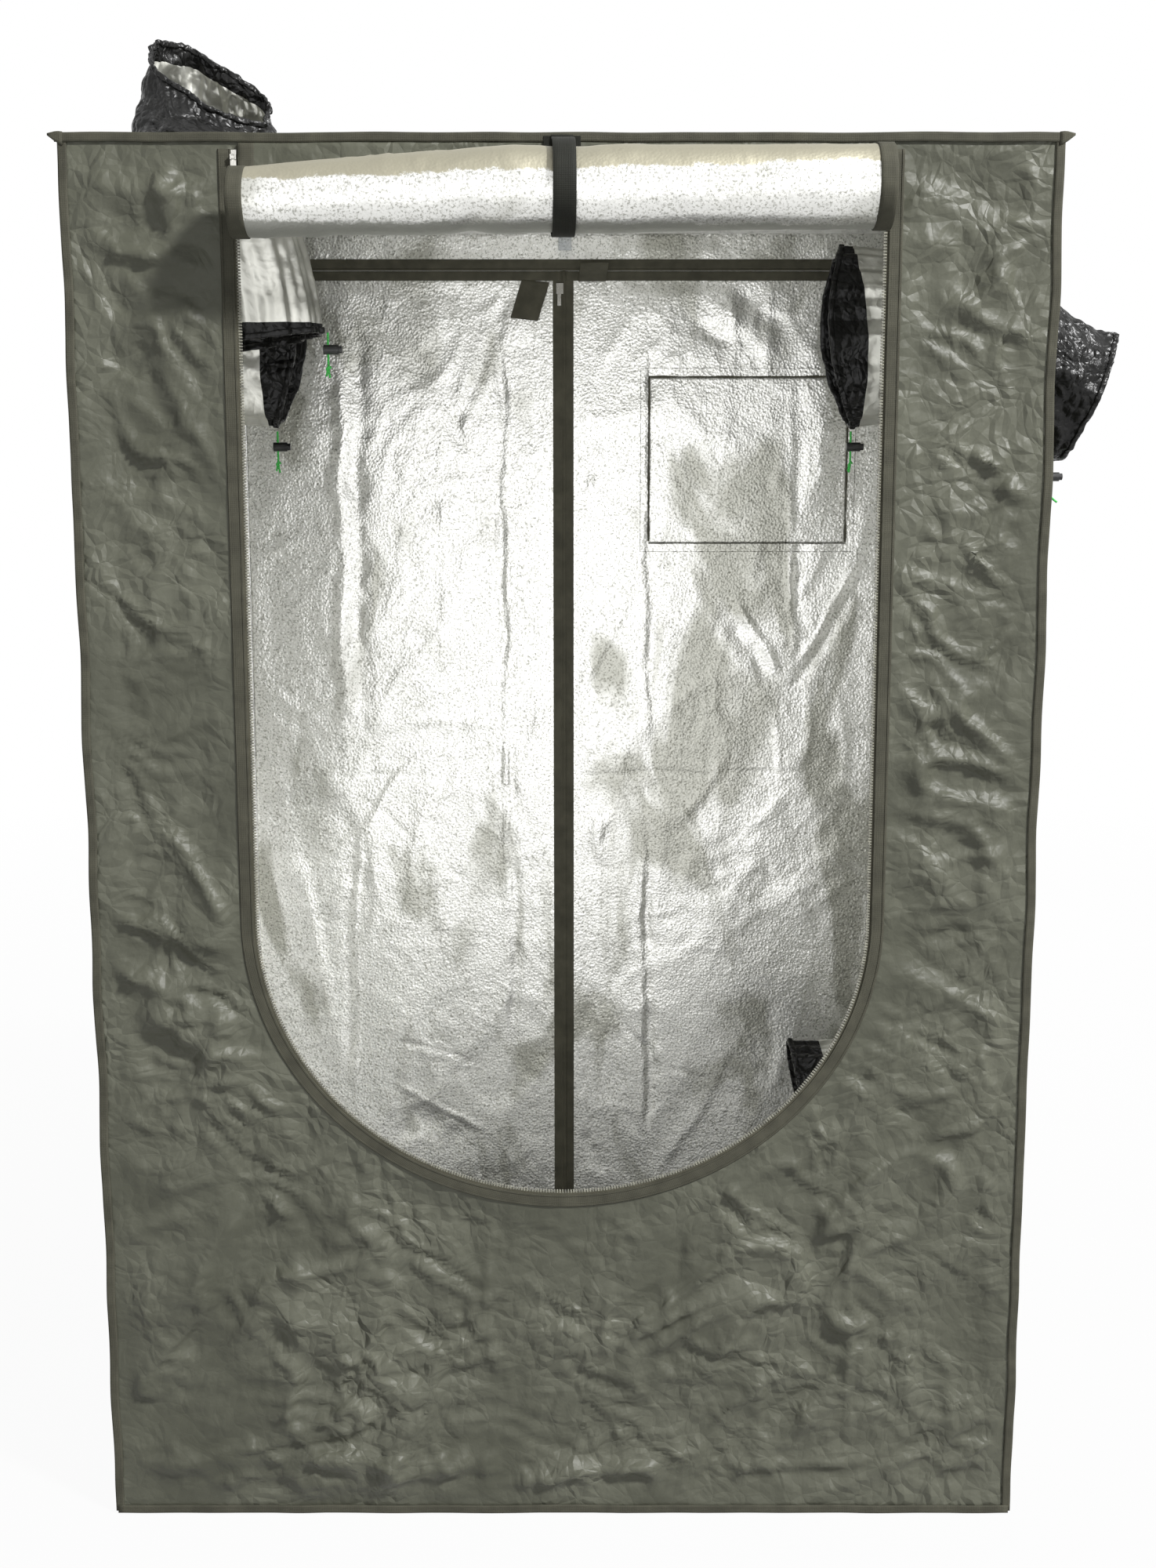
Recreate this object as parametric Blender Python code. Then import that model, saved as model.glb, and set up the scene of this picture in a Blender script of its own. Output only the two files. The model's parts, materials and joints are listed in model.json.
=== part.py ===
"""Indoor grow tent, 120 by 60 by 178 cm, with its front door rolled up and its rear doors shut.

Metres, +Z up. The origin is at the centre of the floor's underside, +X is to the right of
someone who looks in at the front door, and +Y goes into the tent. A frame of steel tubes pushed
onto plastic corners carries a shell of coated cloth, sewn from panels.
"""

import math

import bmesh
import bpy
from mathutils import Matrix, Vector

# The whole tent
tent_width = 1.20
tent_depth = 0.60
tent_height = 1.78
cloth = 0.0015
gap = 0.0003
overrun = 0.02
sharp_angle = math.radians(40)

# Frame tubes and the corners that they push onto
tube_radius = 0.008
tube_wall = 0.0008
tube_sides = 16
collar_radius = 0.0105
collar_reach = 0.018
spigot_length = 0.030
spigot_taper = 0.0004
corner_sides = 12
swage_length = 0.035
swage_groove = 0.0012
swage_depth = 0.0003

# Hanging bars, which lie across the two long top tubes on flat hooks
bar_offset = 0.20
bar_rise = 0.0010
bar_end_room = 0.0015
hook_width = 0.014
hook_thickness = 0.0018
hook_run = 0.040
hook_turn = math.radians(205)
hook_steps = 12

# Front door opening, a U with an oval bottom
door_half_width = 0.389
door_bottom = 0.457
door_round_height = 0.360
door_band = 0.015
door_arc_steps = 28
zip_width = 0.006
zip_thickness = 0.0024
zip_lap = 0.0012

# Front door, rolled up outwards so that its inner face shows
roll_radius = 0.052
roll_half_length = 0.384
roll_drop = 0.070
roll_core_radius = 0.014
roll_pitch = 0.0058
roll_points_per_turn = 24
roll_front_room = 0.0020
roll_sewn_length = 0.012
roll_lead_steps = 8

# Webbing strap that holds the roll, on a patch under the top edge
strap_width = 0.027
strap_thickness = 0.0016
strap_x = 0.001
strap_patch_width = 0.045
strap_patch_height = 0.026
strap_patch_thickness = 0.0014
strap_steps = 26
strap_roll_room = 0.0012

# Zip sliders and pulls of the front door
slider_width = 0.011
slider_height = 0.018
slider_plate = 0.0010
slider_slot = 0.0030
slider_web = 0.0022
slider_drop = 0.026
lug_height = 0.0060
lug_width = 0.0016
lug_wall = 0.0009
pin_radius = 0.0009
pull_width = 0.0070
pull_length = 0.033
pull_thickness = 0.0012
pull_eye_radius = 0.0019
pull_eye_rim = 0.0014
pull_neck_width = 0.0036
round_sides = 16

# Rear doors, two leaves that meet in the middle under a T of zips
rear_side_margin = 0.100
rear_bottom = 0.150
rear_top_drop = 0.0730
rear_split_x = -0.003
rear_zip_gap = 0.0030
rear_tape_width = 0.0145
rear_tape = 0.0015
rear_slider_width = 0.0090
rear_slider_height = 0.016
rear_slider_plate = 0.0022
rear_slider_keel = 0.0018
rear_slider_room = 0.004
rear_pull_length = 0.026
rear_pull_width = 0.0055
rear_pull_thickness = 0.0010

# Tie tabs at the top of the rear doors
tie_width = 0.045
tie_length = 0.058
tie_thickness = 0.0012
tie_left_gap = 0.020
tie_right_gap = 0.022
tie_lift = math.radians(110)

# Window in the right rear door, with a flap inside that is hinged at its lower edge
window_left = 0.131
window_width = 0.311
window_height = 0.257
window_top_drop = 0.234
window_seam = 0.010
window_net = 0.0005

# Duct ports and the sleeves sewn round them
port_radius = 0.100
port_sides = 24
flange_width = 0.008
roof_port_inset = 0.145
roof_port_from_front = 0.185
side_port_from_front = 0.385
side_port_drop = 0.200
low_port_height = 0.450
sleeve_wall = 0.0015
sleeve_flutes = 6
sleeve_points_per_flute = 4
flute_depth = 0.0035
hem_width = 0.024
hem_swell = 0.0025
sleeve_ring_shares = (0.0, 0.18, 0.38, 0.58, 0.78)

# Each sleeve: its length, how far its mouth drops or shifts, its mouth's tilts and half sizes
roof_outer_length = 0.108
roof_outer_shift = -0.004
roof_outer_tilt = math.radians(-34)
roof_outer_lean = math.radians(24)
roof_outer_half_wide = 0.084
roof_outer_half_thin = 0.074
roof_inner_length = 0.208
roof_inner_shift = 0.012
roof_inner_half_wide = 0.130
roof_inner_half_thin = 0.060
side_inner_length = 0.196
side_inner_drop = 0.004
side_inner_half_wide = 0.126
side_inner_half_thin = 0.050
side_outer_length = 0.150
side_outer_drop = 0.078
side_outer_tilt = math.radians(21)
side_outer_half_wide = 0.094
side_outer_half_thin = 0.086
low_inner_length = 0.236
low_inner_drop = 0.010
low_inner_tilt = math.radians(-14)
low_inner_half_wide = 0.104
low_inner_half_thin = 0.080

# Drawcords of the sleeves, each through a barrel lock with a spring button
cord_radius = 0.0015
cord_hole_room = 0.0004
cord_lead = 0.022
cord_tail = 0.036
cord_points = 10
cord_sway = 0.003
lock_travel = 0.012
lock_radius = 0.0065
lock_length = 0.020
lock_hole_share = 0.30
button_radius = 0.0048
button_length = 0.0105
button_out = 0.0045
button_travel = 0.0032


def clear_scene():
    for thing in list(bpy.data.objects):
        bpy.data.objects.remove(thing, do_unlink=True)


def finish(name, colour, roughness, metallic=0.0):
    """A plain material from a linear colour, a roughness and a metallic value."""
    material = bpy.data.materials.get(name)
    if material is None:
        material = bpy.data.materials.new(name)
        material.use_nodes = True
        shader = material.node_tree.nodes["Principled BSDF"]
        shader.inputs["Base Color"].default_value = (*colour, 1.0)
        shader.inputs["Roughness"].default_value = roughness
        shader.inputs["Metallic"].default_value = metallic
    return material


def olive_cloth():
    return finish("olive_cloth", (0.088, 0.091, 0.070), 0.55)


def silver_cloth():
    return finish("silver_cloth", (0.72, 0.72, 0.70), 0.32, 0.75)


def black_cloth():
    return finish("black_cloth", (0.012, 0.012, 0.011), 0.62)


def dark_webbing():
    return finish("dark_webbing", (0.030, 0.031, 0.024), 0.75)


def lacquered_steel():
    return finish("lacquered_steel", (0.78, 0.78, 0.76), 0.35, 0.1)


def moulded_black():
    return finish("moulded_black", (0.010, 0.010, 0.010), 0.45)


def zip_metal():
    return finish("zip_metal", (0.62, 0.62, 0.60), 0.28, 1.0)


def green_cord():
    return finish("green_cord", (0.025, 0.52, 0.072), 0.6)


def place_mesh(name, mesh, material, at=(0.0, 0.0, 0.0)):
    """An object for a mesh that is drawn about its own origin, set down at a point."""
    thing = bpy.data.objects.new(name, mesh)
    thing.location = at
    mesh.materials.clear()
    mesh.materials.append(material)
    bpy.context.scene.collection.objects.link(thing)
    return thing


def to_mesh(name, bm, smooth=False):
    bmesh.ops.recalc_face_normals(bm, faces=bm.faces)
    mesh = bpy.data.meshes.new(name)
    bm.to_mesh(mesh)
    bm.free()
    if smooth:
        mesh.shade_smooth()
        mesh.set_sharp_from_angle(angle=sharp_angle)
    return mesh


def box(low, high):
    """A box between two corners."""
    bm = bmesh.new()
    low, high = Vector(low), Vector(high)
    size = high - low
    matrix = Matrix.Translation((low + high) / 2) @ Matrix.Diagonal((*size, 1.0))
    bmesh.ops.create_cube(bm, size=1.0, matrix=matrix)
    return bm


def round_bar(radius, start, end, sides, end_radius=None):
    """A solid round bar, or a cone, between two points."""
    bm = bmesh.new()
    start, end = Vector(start), Vector(end)
    along = end - start
    turn = along.to_track_quat("Z", "Y").to_matrix().to_4x4()
    bmesh.ops.create_cone(
        bm,
        cap_ends=True,
        segments=sides,
        radius1=radius,
        radius2=radius if end_radius is None else end_radius,
        depth=along.length,
        matrix=Matrix.Translation((start + end) / 2) @ turn,
    )
    return bm


def skin(rings, loop):
    """Faces between rings of as many points each; the ends are closed, or joined to each other."""
    bm = bmesh.new()
    rows = [[bm.verts.new(point) for point in ring] for ring in rings]
    count = len(rows[0])
    pairs = list(zip(rows, rows[1:]))
    if loop:
        pairs.append((rows[-1], rows[0]))
    else:
        bm.faces.new(list(reversed(rows[0])))
        bm.faces.new(rows[-1])
    for lower, upper in pairs:
        for i in range(count):
            j = (i + 1) % count
            bm.faces.new((lower[i], lower[j], upper[j], upper[i]))
    return bm


def circle(radius, height, sides):
    step = math.tau / sides
    return [
        Vector((radius * math.cos(i * step), radius * math.sin(i * step), height))
        for i in range(sides)
    ]


def ribbon(path, thickness, half_width, across, facing):
    """A flat strip that follows a path; facing(i) gives the direction of its thickness."""
    rings = []
    side = Vector(across) * half_width
    for i, point in enumerate(path):
        lift = facing(i) * thickness / 2
        rings.append(
            [
                point - side - lift,
                point + side - lift,
                point + side + lift,
                point - side + lift,
            ]
        )
    return skin(rings, loop=False)


def joined(name, first, others=(), cuts=(), smooth=False):
    """One solid: the first shape with the others joined to it and the cuts taken out of it."""
    base = bpy.data.objects.new(name + "_base", to_mesh(name + "_base", first))
    bpy.context.scene.collection.objects.link(base)
    helpers = [base]
    for operation, shapes in (("UNION", others), ("DIFFERENCE", cuts)):
        for number, shape in enumerate(shapes):
            label = f"{name}_{operation.lower()}_{number}"
            helper = bpy.data.objects.new(label, to_mesh(label, shape))
            helper.hide_render = True
            helper.display_type = "WIRE"
            bpy.context.scene.collection.objects.link(helper)
            helpers.append(helper)
            modifier = base.modifiers.new(label, "BOOLEAN")
            modifier.operation = operation
            modifier.object = helper
            modifier.solver = "EXACT"
    bpy.context.view_layer.update()
    solid = base.evaluated_get(bpy.context.evaluated_depsgraph_get())
    mesh = bpy.data.meshes.new_from_object(solid)
    mesh.name = name
    for helper in helpers:
        bpy.data.objects.remove(helper, do_unlink=True)
    if smooth:
        mesh.shade_smooth()
        mesh.set_sharp_from_angle(angle=sharp_angle)
    return mesh


# Places that several pieces share
half_width = tent_width / 2
rear_half_width = half_width - rear_side_margin
half_depth = tent_depth / 2
frame_inset = cloth + gap + collar_radius
frame_x = half_width - frame_inset
frame_y = half_depth - frame_inset
frame_low = frame_inset
frame_high = tent_height - frame_inset
front_face = -half_depth
cloth_mid = front_face + cloth / 2
door_top = tent_height - door_band
door_round_top = door_bottom + door_round_height
zip_mid = door_half_width + zip_width / 2
panel_edge = door_half_width + zip_width - zip_lap
rear_inner_face = half_depth - cloth
rear_top = tent_height - rear_top_drop
roll_y = front_face - roll_front_room - roll_radius
roll_z = tent_height - roll_drop
roof_port_x = -half_width + roof_port_inset
roof_port_y = front_face + roof_port_from_front
side_port_y = front_face + side_port_from_front
side_port_z = tent_height - side_port_drop
slider_z = tent_height - slider_drop


def tube(name, start, end, swaged=False):
    """A steel tube with its bore, and the seam of a pushed joint half way along an upright."""
    start, end = Vector(start), Vector(end)
    along = end - start
    length = along.length
    bore = tube_radius - tube_wall
    stops = [(tube_radius, 0.0)]
    if swaged:
        seam = length / 2
        waist = tube_radius - swage_depth
        stops += [
            (tube_radius, seam - swage_groove),
            (waist, seam),
            (tube_radius, seam + swage_groove),
            (tube_radius, seam + swage_length),
        ]
    stops += [(tube_radius, length), (bore, length), (bore, 0.0)]
    rings = [circle(radius, height, tube_sides) for radius, height in stops]
    thing = place_mesh(name, to_mesh(name, skin(rings, loop=True), True), lacquered_steel(), start)
    thing.rotation_euler = along.to_track_quat("Z", "Y").to_euler()
    return thing


def corner_mesh():
    """A moulded corner: three collars that meet, each with a spigot for a tube."""
    axes = (Vector((1, 0, 0)), Vector((0, 1, 0)), Vector((0, 0, 1)))
    spigot = tube_radius - tube_wall - gap
    collars, spigots = [], []
    for axis in axes:
        collars.append(
            round_bar(collar_radius, -axis * collar_radius, axis * collar_reach, corner_sides)
        )
        spigots.append(
            round_bar(
                spigot,
                axis * (collar_reach - collar_radius / 2),
                axis * (collar_reach + spigot_length),
                corner_sides,
                spigot - spigot_taper,
            )
        )
    return joined("corner", collars[0], collars[1:] + spigots, smooth=True)


def add_frame():
    """Eight corners and the twelve tubes between them."""
    mesh = corner_mesh()
    quarter = math.pi / 2
    floor_turns = {(-1, -1): 0, (1, -1): 1, (1, 1): 2, (-1, 1): 3}
    roof_turns = {(-1, 1): 0, (-1, -1): 1, (1, -1): 2, (1, 1): 3}
    names_x = {-1: "left", 1: "right"}
    names_y = {-1: "front", 1: "rear"}
    for (sx, sy), turns in floor_turns.items():
        name = f"corner_{names_y[sy]}_{names_x[sx]}_bottom"
        thing = place_mesh(
            name, mesh.copy(), moulded_black(), (sx * frame_x, sy * frame_y, frame_low)
        )
        thing.rotation_euler = (0, 0, turns * quarter)
    for (sx, sy), turns in roof_turns.items():
        name = f"corner_{names_y[sy]}_{names_x[sx]}_top"
        thing = place_mesh(
            name, mesh.copy(), moulded_black(), (sx * frame_x, sy * frame_y, frame_high)
        )
        flip = Matrix.Rotation(math.pi, 3, "X")
        thing.rotation_euler = (Matrix.Rotation(turns * quarter, 3, "Z") @ flip).to_euler()
    reach = collar_reach + gap
    for sx, side in names_x.items():
        for sy, face in names_y.items():
            tube(
                f"upright_{face}_{side}",
                (sx * frame_x, sy * frame_y, frame_low + reach),
                (sx * frame_x, sy * frame_y, frame_high - reach),
                swaged=True,
            )
    for level, height in (("bottom", frame_low), ("top", frame_high)):
        for sy, face in names_y.items():
            tube(
                f"long_pole_{face}_{level}",
                (-frame_x + reach, sy * frame_y, height),
                (frame_x - reach, sy * frame_y, height),
                swaged=True,
            )
        for sx, side in names_x.items():
            tube(
                f"short_pole_{side}_{level}",
                (sx * frame_x, -frame_y + reach, height),
                (sx * frame_x, frame_y - reach, height),
            )


def hook(direction):
    """A flat steel hook: along the bar's top, then over the pole and down its far side."""
    radius = tube_radius + gap + hook_thickness / 2
    centre = Vector((0, direction * frame_y, 0))
    path = [centre + Vector((0, -direction * (hook_run + tube_radius), radius))]
    normals = [Vector((0, 0, 1))]
    for step in range(hook_steps + 1):
        angle = hook_turn * step / hook_steps
        normal = Vector((0, direction * math.sin(angle), math.cos(angle)))
        path.append(centre + normal * radius)
        normals.append(normal)
    return ribbon(path, hook_thickness, hook_width / 2, (1, 0, 0), lambda i: normals[i])


def add_hanging_bars():
    """Two bars from front to back for lamps, hooked over the long top tubes."""
    reach = frame_y - tube_radius - bar_end_room
    bore = tube_radius - tube_wall
    rings = [
        [Vector((p.x, height, p.y + bar_rise)) for p in circle(radius, 0.0, tube_sides)]
        for radius, height in (
            (tube_radius, -reach),
            (tube_radius, reach),
            (bore, reach),
            (bore, -reach),
        )
    ]
    for name, x in (("hanging_bar_left", -bar_offset), ("hanging_bar_right", bar_offset)):
        mesh = joined(name, skin(rings, loop=True), [hook(-1), hook(1)], smooth=True)
        place_mesh(name, mesh, lacquered_steel(), (x, 0, frame_high))


def door_outline(half, bottom_drop):
    """The U of the front door in X and Z, from its left top down and round to its right top."""
    rise = door_round_height + bottom_drop
    points = [(-half, door_top)]
    for step in range(door_arc_steps + 1):
        angle = math.pi + math.pi * step / door_arc_steps
        points.append((half * math.cos(angle), door_round_top + rise * math.sin(angle)))
    points.append((half, door_top))
    return points


def add_front_panel():
    """The front wall with its U opening, and the half of the zip that is sewn to the U's edge."""
    panel = box((-half_width, front_face, 0), (half_width, front_face + cloth, tent_height))
    edge_drop = zip_width - zip_lap
    outline = door_outline(panel_edge, edge_drop)
    cut = skin(
        [
            [Vector((x, front_face + depth, z)) for x, z in outline]
            for depth in (-overrun, overrun)
        ],
        loop=False,
    )
    mid = door_outline(zip_mid, zip_width / 2)
    path = [Vector((x, cloth_mid, z)) for x, z in mid]
    rings = []
    for i, point in enumerate(path):
        ahead = path[min(i + 1, len(path) - 1)]
        behind = path[max(i - 1, 0)]
        along = (ahead - behind).normalized()
        out = Vector((along.z, 0, -along.x)) * zip_width / 2
        lift = Vector((0, zip_thickness / 2, 0))
        near, far = point - lift, point + lift
        rings.append([near - out, near + out, far + out, far - out])
    opened = joined("front_panel_cloth", panel, cuts=[cut])
    whole = bmesh.new()
    whole.from_mesh(opened)
    mesh = joined("front_panel", whole, [skin(rings, loop=False)])
    place_mesh("front_panel", mesh, olive_cloth())


def add_walls():
    """Side walls and roof with their duct ports, and the floor."""
    inside_y = half_depth - cloth - gap
    low, high = cloth + gap, tent_height - cloth - gap
    upper = (side_port_y, side_port_z)
    ports = {"left": [upper], "right": [upper, (side_port_y, low_port_height)]}
    for side, sign in (("left", -1), ("right", 1)):
        outer, inner = sign * half_width, sign * (half_width - cloth)
        wall = box((min(outer, inner), -inside_y, low), (max(outer, inner), inside_y, high))
        cuts = [
            round_bar(
                port_radius,
                (sign * (half_width - overrun), y, z),
                (sign * (half_width + overrun), y, z),
                port_sides,
            )
            for y, z in ports[side]
        ]
        name = f"{side}_wall"
        place_mesh(name, joined(name, wall, cuts=cuts), olive_cloth())
    roof = box((-half_width, -inside_y, tent_height - cloth), (half_width, inside_y, tent_height))
    roof_cut = round_bar(
        port_radius,
        (roof_port_x, roof_port_y, tent_height - overrun),
        (roof_port_x, roof_port_y, tent_height + overrun),
        port_sides,
    )
    place_mesh("roof_panel", joined("roof_panel", roof, cuts=[roof_cut]), olive_cloth())
    base = box((-half_width, -inside_y, 0), (half_width, inside_y, cloth))
    place_mesh("floor_panel", to_mesh("floor_panel", base), black_cloth())


def add_rear_wall():
    """The rear wall round its doors, with the upper tape of the zip along their top."""
    y_low, y_high = rear_inner_face, half_depth
    wall = box((-half_width, y_low, 0), (half_width, y_high, tent_height))
    cut_top = rear_top + rear_zip_gap / 2
    opening = box(
        (-rear_half_width, y_low - overrun, rear_bottom),
        (rear_half_width, y_high + overrun, cut_top),
    )
    tape_front = y_low - gap - rear_tape
    tape = box(
        (-rear_half_width, tape_front, cut_top),
        (rear_half_width, y_low + cloth / 2, cut_top + rear_tape_width),
    )
    place_mesh("rear_wall", joined("rear_wall", wall, [tape], [opening]), silver_cloth())


def leaf_side(sign):
    """The X of a rear leaf's hinge edge and of its free edge at the zip."""
    return sign * (rear_half_width - gap), rear_split_x + sign * rear_zip_gap / 2


def hung_on(thing, name, pivot):
    """Hangs a piece that is drawn in the tent's frame from an empty on its joint's axis."""
    pin = bpy.data.objects.new(name, None)
    pin.location = pivot
    bpy.context.scene.collection.objects.link(pin)
    thing.parent = pin
    thing.location = -Vector(pivot)
    return pin


def add_rear_doors():
    """Two cloth leaves that swing out on their outer edges, with the zip tapes sewn to them."""
    low, high = rear_bottom + gap, rear_top - rear_zip_gap / 2
    tape_back = rear_inner_face - gap
    tape_front = tape_back - rear_tape
    for side, sign in (("left", -1), ("right", 1)):
        hinge, free = leaf_side(sign)
        leaf = box(
            (min(hinge, free), rear_inner_face, low), (max(hinge, free), half_depth, high)
        )
        cuts = []
        if side == "right":
            window_top = tent_height - window_top_drop
            cuts = [
                box(
                    (
                        window_left + window_seam,
                        rear_inner_face - overrun,
                        window_top - window_height + window_seam,
                    ),
                    (
                        window_left + window_width - window_seam,
                        half_depth - window_net,
                        window_top - window_seam,
                    ),
                )
            ]
        name = f"rear_door_{side}"
        colour = silver_cloth()
        door = place_mesh(name, joined(name, leaf, cuts=cuts), colour)
        tape_edge = free + sign * rear_tape_width
        upright = box(
            (min(free, tape_edge), tape_front, low), (max(free, tape_edge), tape_back, high)
        )
        across = box(
            (min(free, hinge), tape_front, high - rear_tape_width),
            (max(free, hinge), tape_back, high),
        )
        tape_name = f"rear_zip_{side}"
        tape = place_mesh(tape_name, joined(tape_name, upright, [across]), black_cloth())
        pivot = (sign * rear_half_width, half_depth + gap, 0)
        pin = hung_on(door, f"rear_door_{side}_pivot", pivot)
        tape.parent = pin
        tape.location = -Vector(pivot)


def add_window_flap():
    """The light-tight flap inside the window, hinged along its lower edge."""
    top = tent_height - window_top_drop
    back = rear_inner_face - gap
    flap = box(
        (window_left, back - cloth, top - window_height), (window_left + window_width, back, top)
    )
    thing = place_mesh("rear_window_flap", to_mesh("rear_window_flap", flap), silver_cloth())
    hung_on(thing, "rear_window_pivot", (window_left, back - cloth, top - window_height))


def tie_pivot(x):
    """The sewn edge of a tie tab, along the lower edge of the zip tape."""
    drop = rear_zip_gap / 2 + rear_tape_width
    return Vector((x, rear_inner_face - gap - rear_tape, rear_top - drop - gap))


def tie_mesh(name, lift):
    """A webbing tab that hangs from its upper edge, or is lifted away from the door."""
    down = Vector((0, -math.sin(lift), -math.cos(lift)))
    normal = Vector((0, math.cos(lift), -math.sin(lift)))
    middle = normal * tie_thickness / 2
    path = [middle, middle + down * tie_length]
    shape = ribbon(path, tie_thickness, tie_width / 2, (1, 0, 0), lambda i: normal)
    return to_mesh(name, shape)


def add_ties():
    """One tab hangs beside each side of the upright zip; the right one stands out."""
    left_x = rear_split_x - tie_left_gap - tie_width / 2
    right_x = rear_split_x + tie_right_gap + tie_width / 2
    for name, x, lift in (("rear_tie_left", left_x, 0.0), ("rear_tie_right", right_x, tie_lift)):
        place_mesh(name, tie_mesh(name, lift), black_cloth(), tie_pivot(x))


def add_rear_slider():
    """The slider of the upright zip, on the left leaf's side, with its pull."""
    high = rear_top - rear_zip_gap / 2 - rear_tape_width - rear_slider_room
    face = rear_inner_face - gap - rear_tape - gap
    free = leaf_side(-1)[1]
    plate = box(
        (free - rear_slider_width, face - rear_slider_plate, high - rear_slider_height),
        (free + rear_slider_keel, face, high),
    )
    keel = box(
        (free + gap, face - rear_slider_plate / 2, high - rear_slider_height),
        (free + rear_slider_keel, half_depth, high),
    )
    middle = free - rear_slider_width / 2
    back = face - rear_slider_plate
    low = high - rear_slider_height / 2
    pull = box(
        (middle - rear_pull_width / 2, back - rear_pull_thickness, low - rear_pull_length),
        (middle + rear_pull_width / 2, back + rear_slider_plate / 2, low),
    )
    clear = box(
        (middle - rear_pull_width, back, low - rear_pull_length - overrun),
        (middle + rear_pull_width, face + overrun, high - rear_slider_height),
    )
    mesh = joined("rear_slider", plate, [keel, pull], [clear])
    place_mesh("rear_slider", mesh, zip_metal())


def roll_path():
    """The door's cloth in Y and Z: sewn under the top edge, down behind the roll and round it."""
    path = []
    sewn_y = front_face - gap - cloth / 2
    back_y = roll_y + roll_radius
    path.append(Vector((0, sewn_y, door_top + roll_sewn_length)))
    start, end = Vector((0, sewn_y, door_top)), Vector((0, back_y, roll_z))
    for step in range(roll_lead_steps):
        share = step / roll_lead_steps
        ease = share * share * (3 - 2 * share)
        y = start.y + (end.y - start.y) * ease
        path.append(Vector((0, y, start.z + (end.z - start.z) * share)))
    turns = (roll_radius - roll_core_radius) / roll_pitch
    steps = int(turns * roll_points_per_turn)
    for step in range(steps + 1):
        turn = step / roll_points_per_turn
        radius = roll_radius - roll_pitch * turn
        angle = math.tau * turn
        path.append(
            Vector((0, roll_y + radius * math.cos(angle), roll_z - radius * math.sin(angle)))
        )
    return path


def path_normal(path, i, across):
    ahead = path[min(i + 1, len(path) - 1)]
    behind = path[max(i - 1, 0)]
    return (ahead - behind).normalized().cross(Vector(across))


def add_door_roll():
    """The front door wound into a loose roll, one unbroken sheet from its seam to its core."""
    path = roll_path()
    across = (1, 0, 0)
    shape = ribbon(path, cloth, roll_half_length, across, lambda i: path_normal(path, i, across))
    place_mesh("front_door_roll", to_mesh("front_door_roll", shape, True), silver_cloth())


def roll_least_gap():
    """The least room between the roll's turns, measured from each point to the turn outside it."""
    path = roll_path()
    least = math.inf
    for i in range(roll_points_per_turn + 1, len(path)):
        point = path[i]
        for j in range(i - roll_points_per_turn // 2):
            start, end = path[j], path[j + 1]
            along = end - start
            share = min(1.0, max(0.0, (point - start).dot(along) / along.length_squared))
            least = min(least, (start + along * share - point).length)
    return least - cloth


def add_roll_strap():
    """The webbing strap over its patch, round the roll and up again behind the door."""
    patch_back = front_face - gap - cloth - gap
    outside = patch_back - strap_patch_thickness - gap - strap_thickness / 2
    radius = roll_radius + cloth / 2 + strap_roll_room + strap_thickness / 2
    inside = front_face + cloth + gap + strap_thickness / 2
    top = tent_height - gap
    path = [Vector((strap_x, outside, top))]
    first = math.radians(62)
    last = math.radians(300)
    for step in range(strap_steps + 1):
        angle = first + (last - first) * step / strap_steps
        y = roll_y + radius * math.cos(angle)
        path.append(Vector((strap_x, y, roll_z + radius * math.sin(angle))))
    rise_start = roll_z - radius / 2
    path.append(Vector((strap_x, inside, rise_start)))
    path.append(Vector((strap_x, inside, roll_z)))
    path.append(Vector((strap_x, inside, door_top + roll_sewn_length)))
    across = (1, 0, 0)
    shape = ribbon(
        path, strap_thickness, strap_width / 2, across, lambda i: path_normal(path, i, across)
    )
    patch_side = strap_patch_width / 2
    patch_front = patch_back - strap_patch_thickness
    patch = box(
        (strap_x - patch_side, patch_front, top - strap_patch_height),
        (strap_x + patch_side, patch_back, top),
    )
    web = box(
        (strap_x - strap_width / 2, outside - strap_thickness / 4, top - door_band / 2),
        (strap_x + strap_width / 2, patch_back - strap_patch_thickness / 2, top),
    )
    mesh = joined("front_roll_strap", shape, [web, patch])
    place_mesh("front_roll_strap", mesh, dark_webbing())


def slider_mesh(name, sign):
    """A zip slider round one half of the chain, with two lugs and a pin for its pull."""
    slot = slider_slot / 2
    plate = slot + slider_plate
    inner = -sign * (zip_width / 2 + gap)
    web_end = inner - sign * slider_web
    outer = web_end + sign * slider_width
    half = slider_height / 2
    block = box((min(web_end, outer), -plate, -half), (max(web_end, outer), plate, half))
    far = outer + sign * overrun
    channel = box(
        (min(inner, far), -slot, -half - overrun), (max(inner, far), slot, half + overrun)
    )
    lugs = []
    pin_y = -plate - pull_eye_radius - pull_eye_rim - gap
    for edge in (-1, 1):
        start = edge * (pull_neck_width / 2 + gap)
        end = start + edge * lug_width
        lugs.append(
            box(
                (min(start, end), pin_y - pin_radius - lug_wall, -lug_height / 2),
                (max(start, end), -slot - slider_plate / 2, lug_height / 2),
            )
        )
    span = pull_neck_width / 2 + gap + lug_width / 2
    lugs.append(round_bar(pin_radius, (-span, pin_y, 0), (span, pin_y, 0), round_sides))
    return joined(name, block, lugs, [channel]), pin_y


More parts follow.
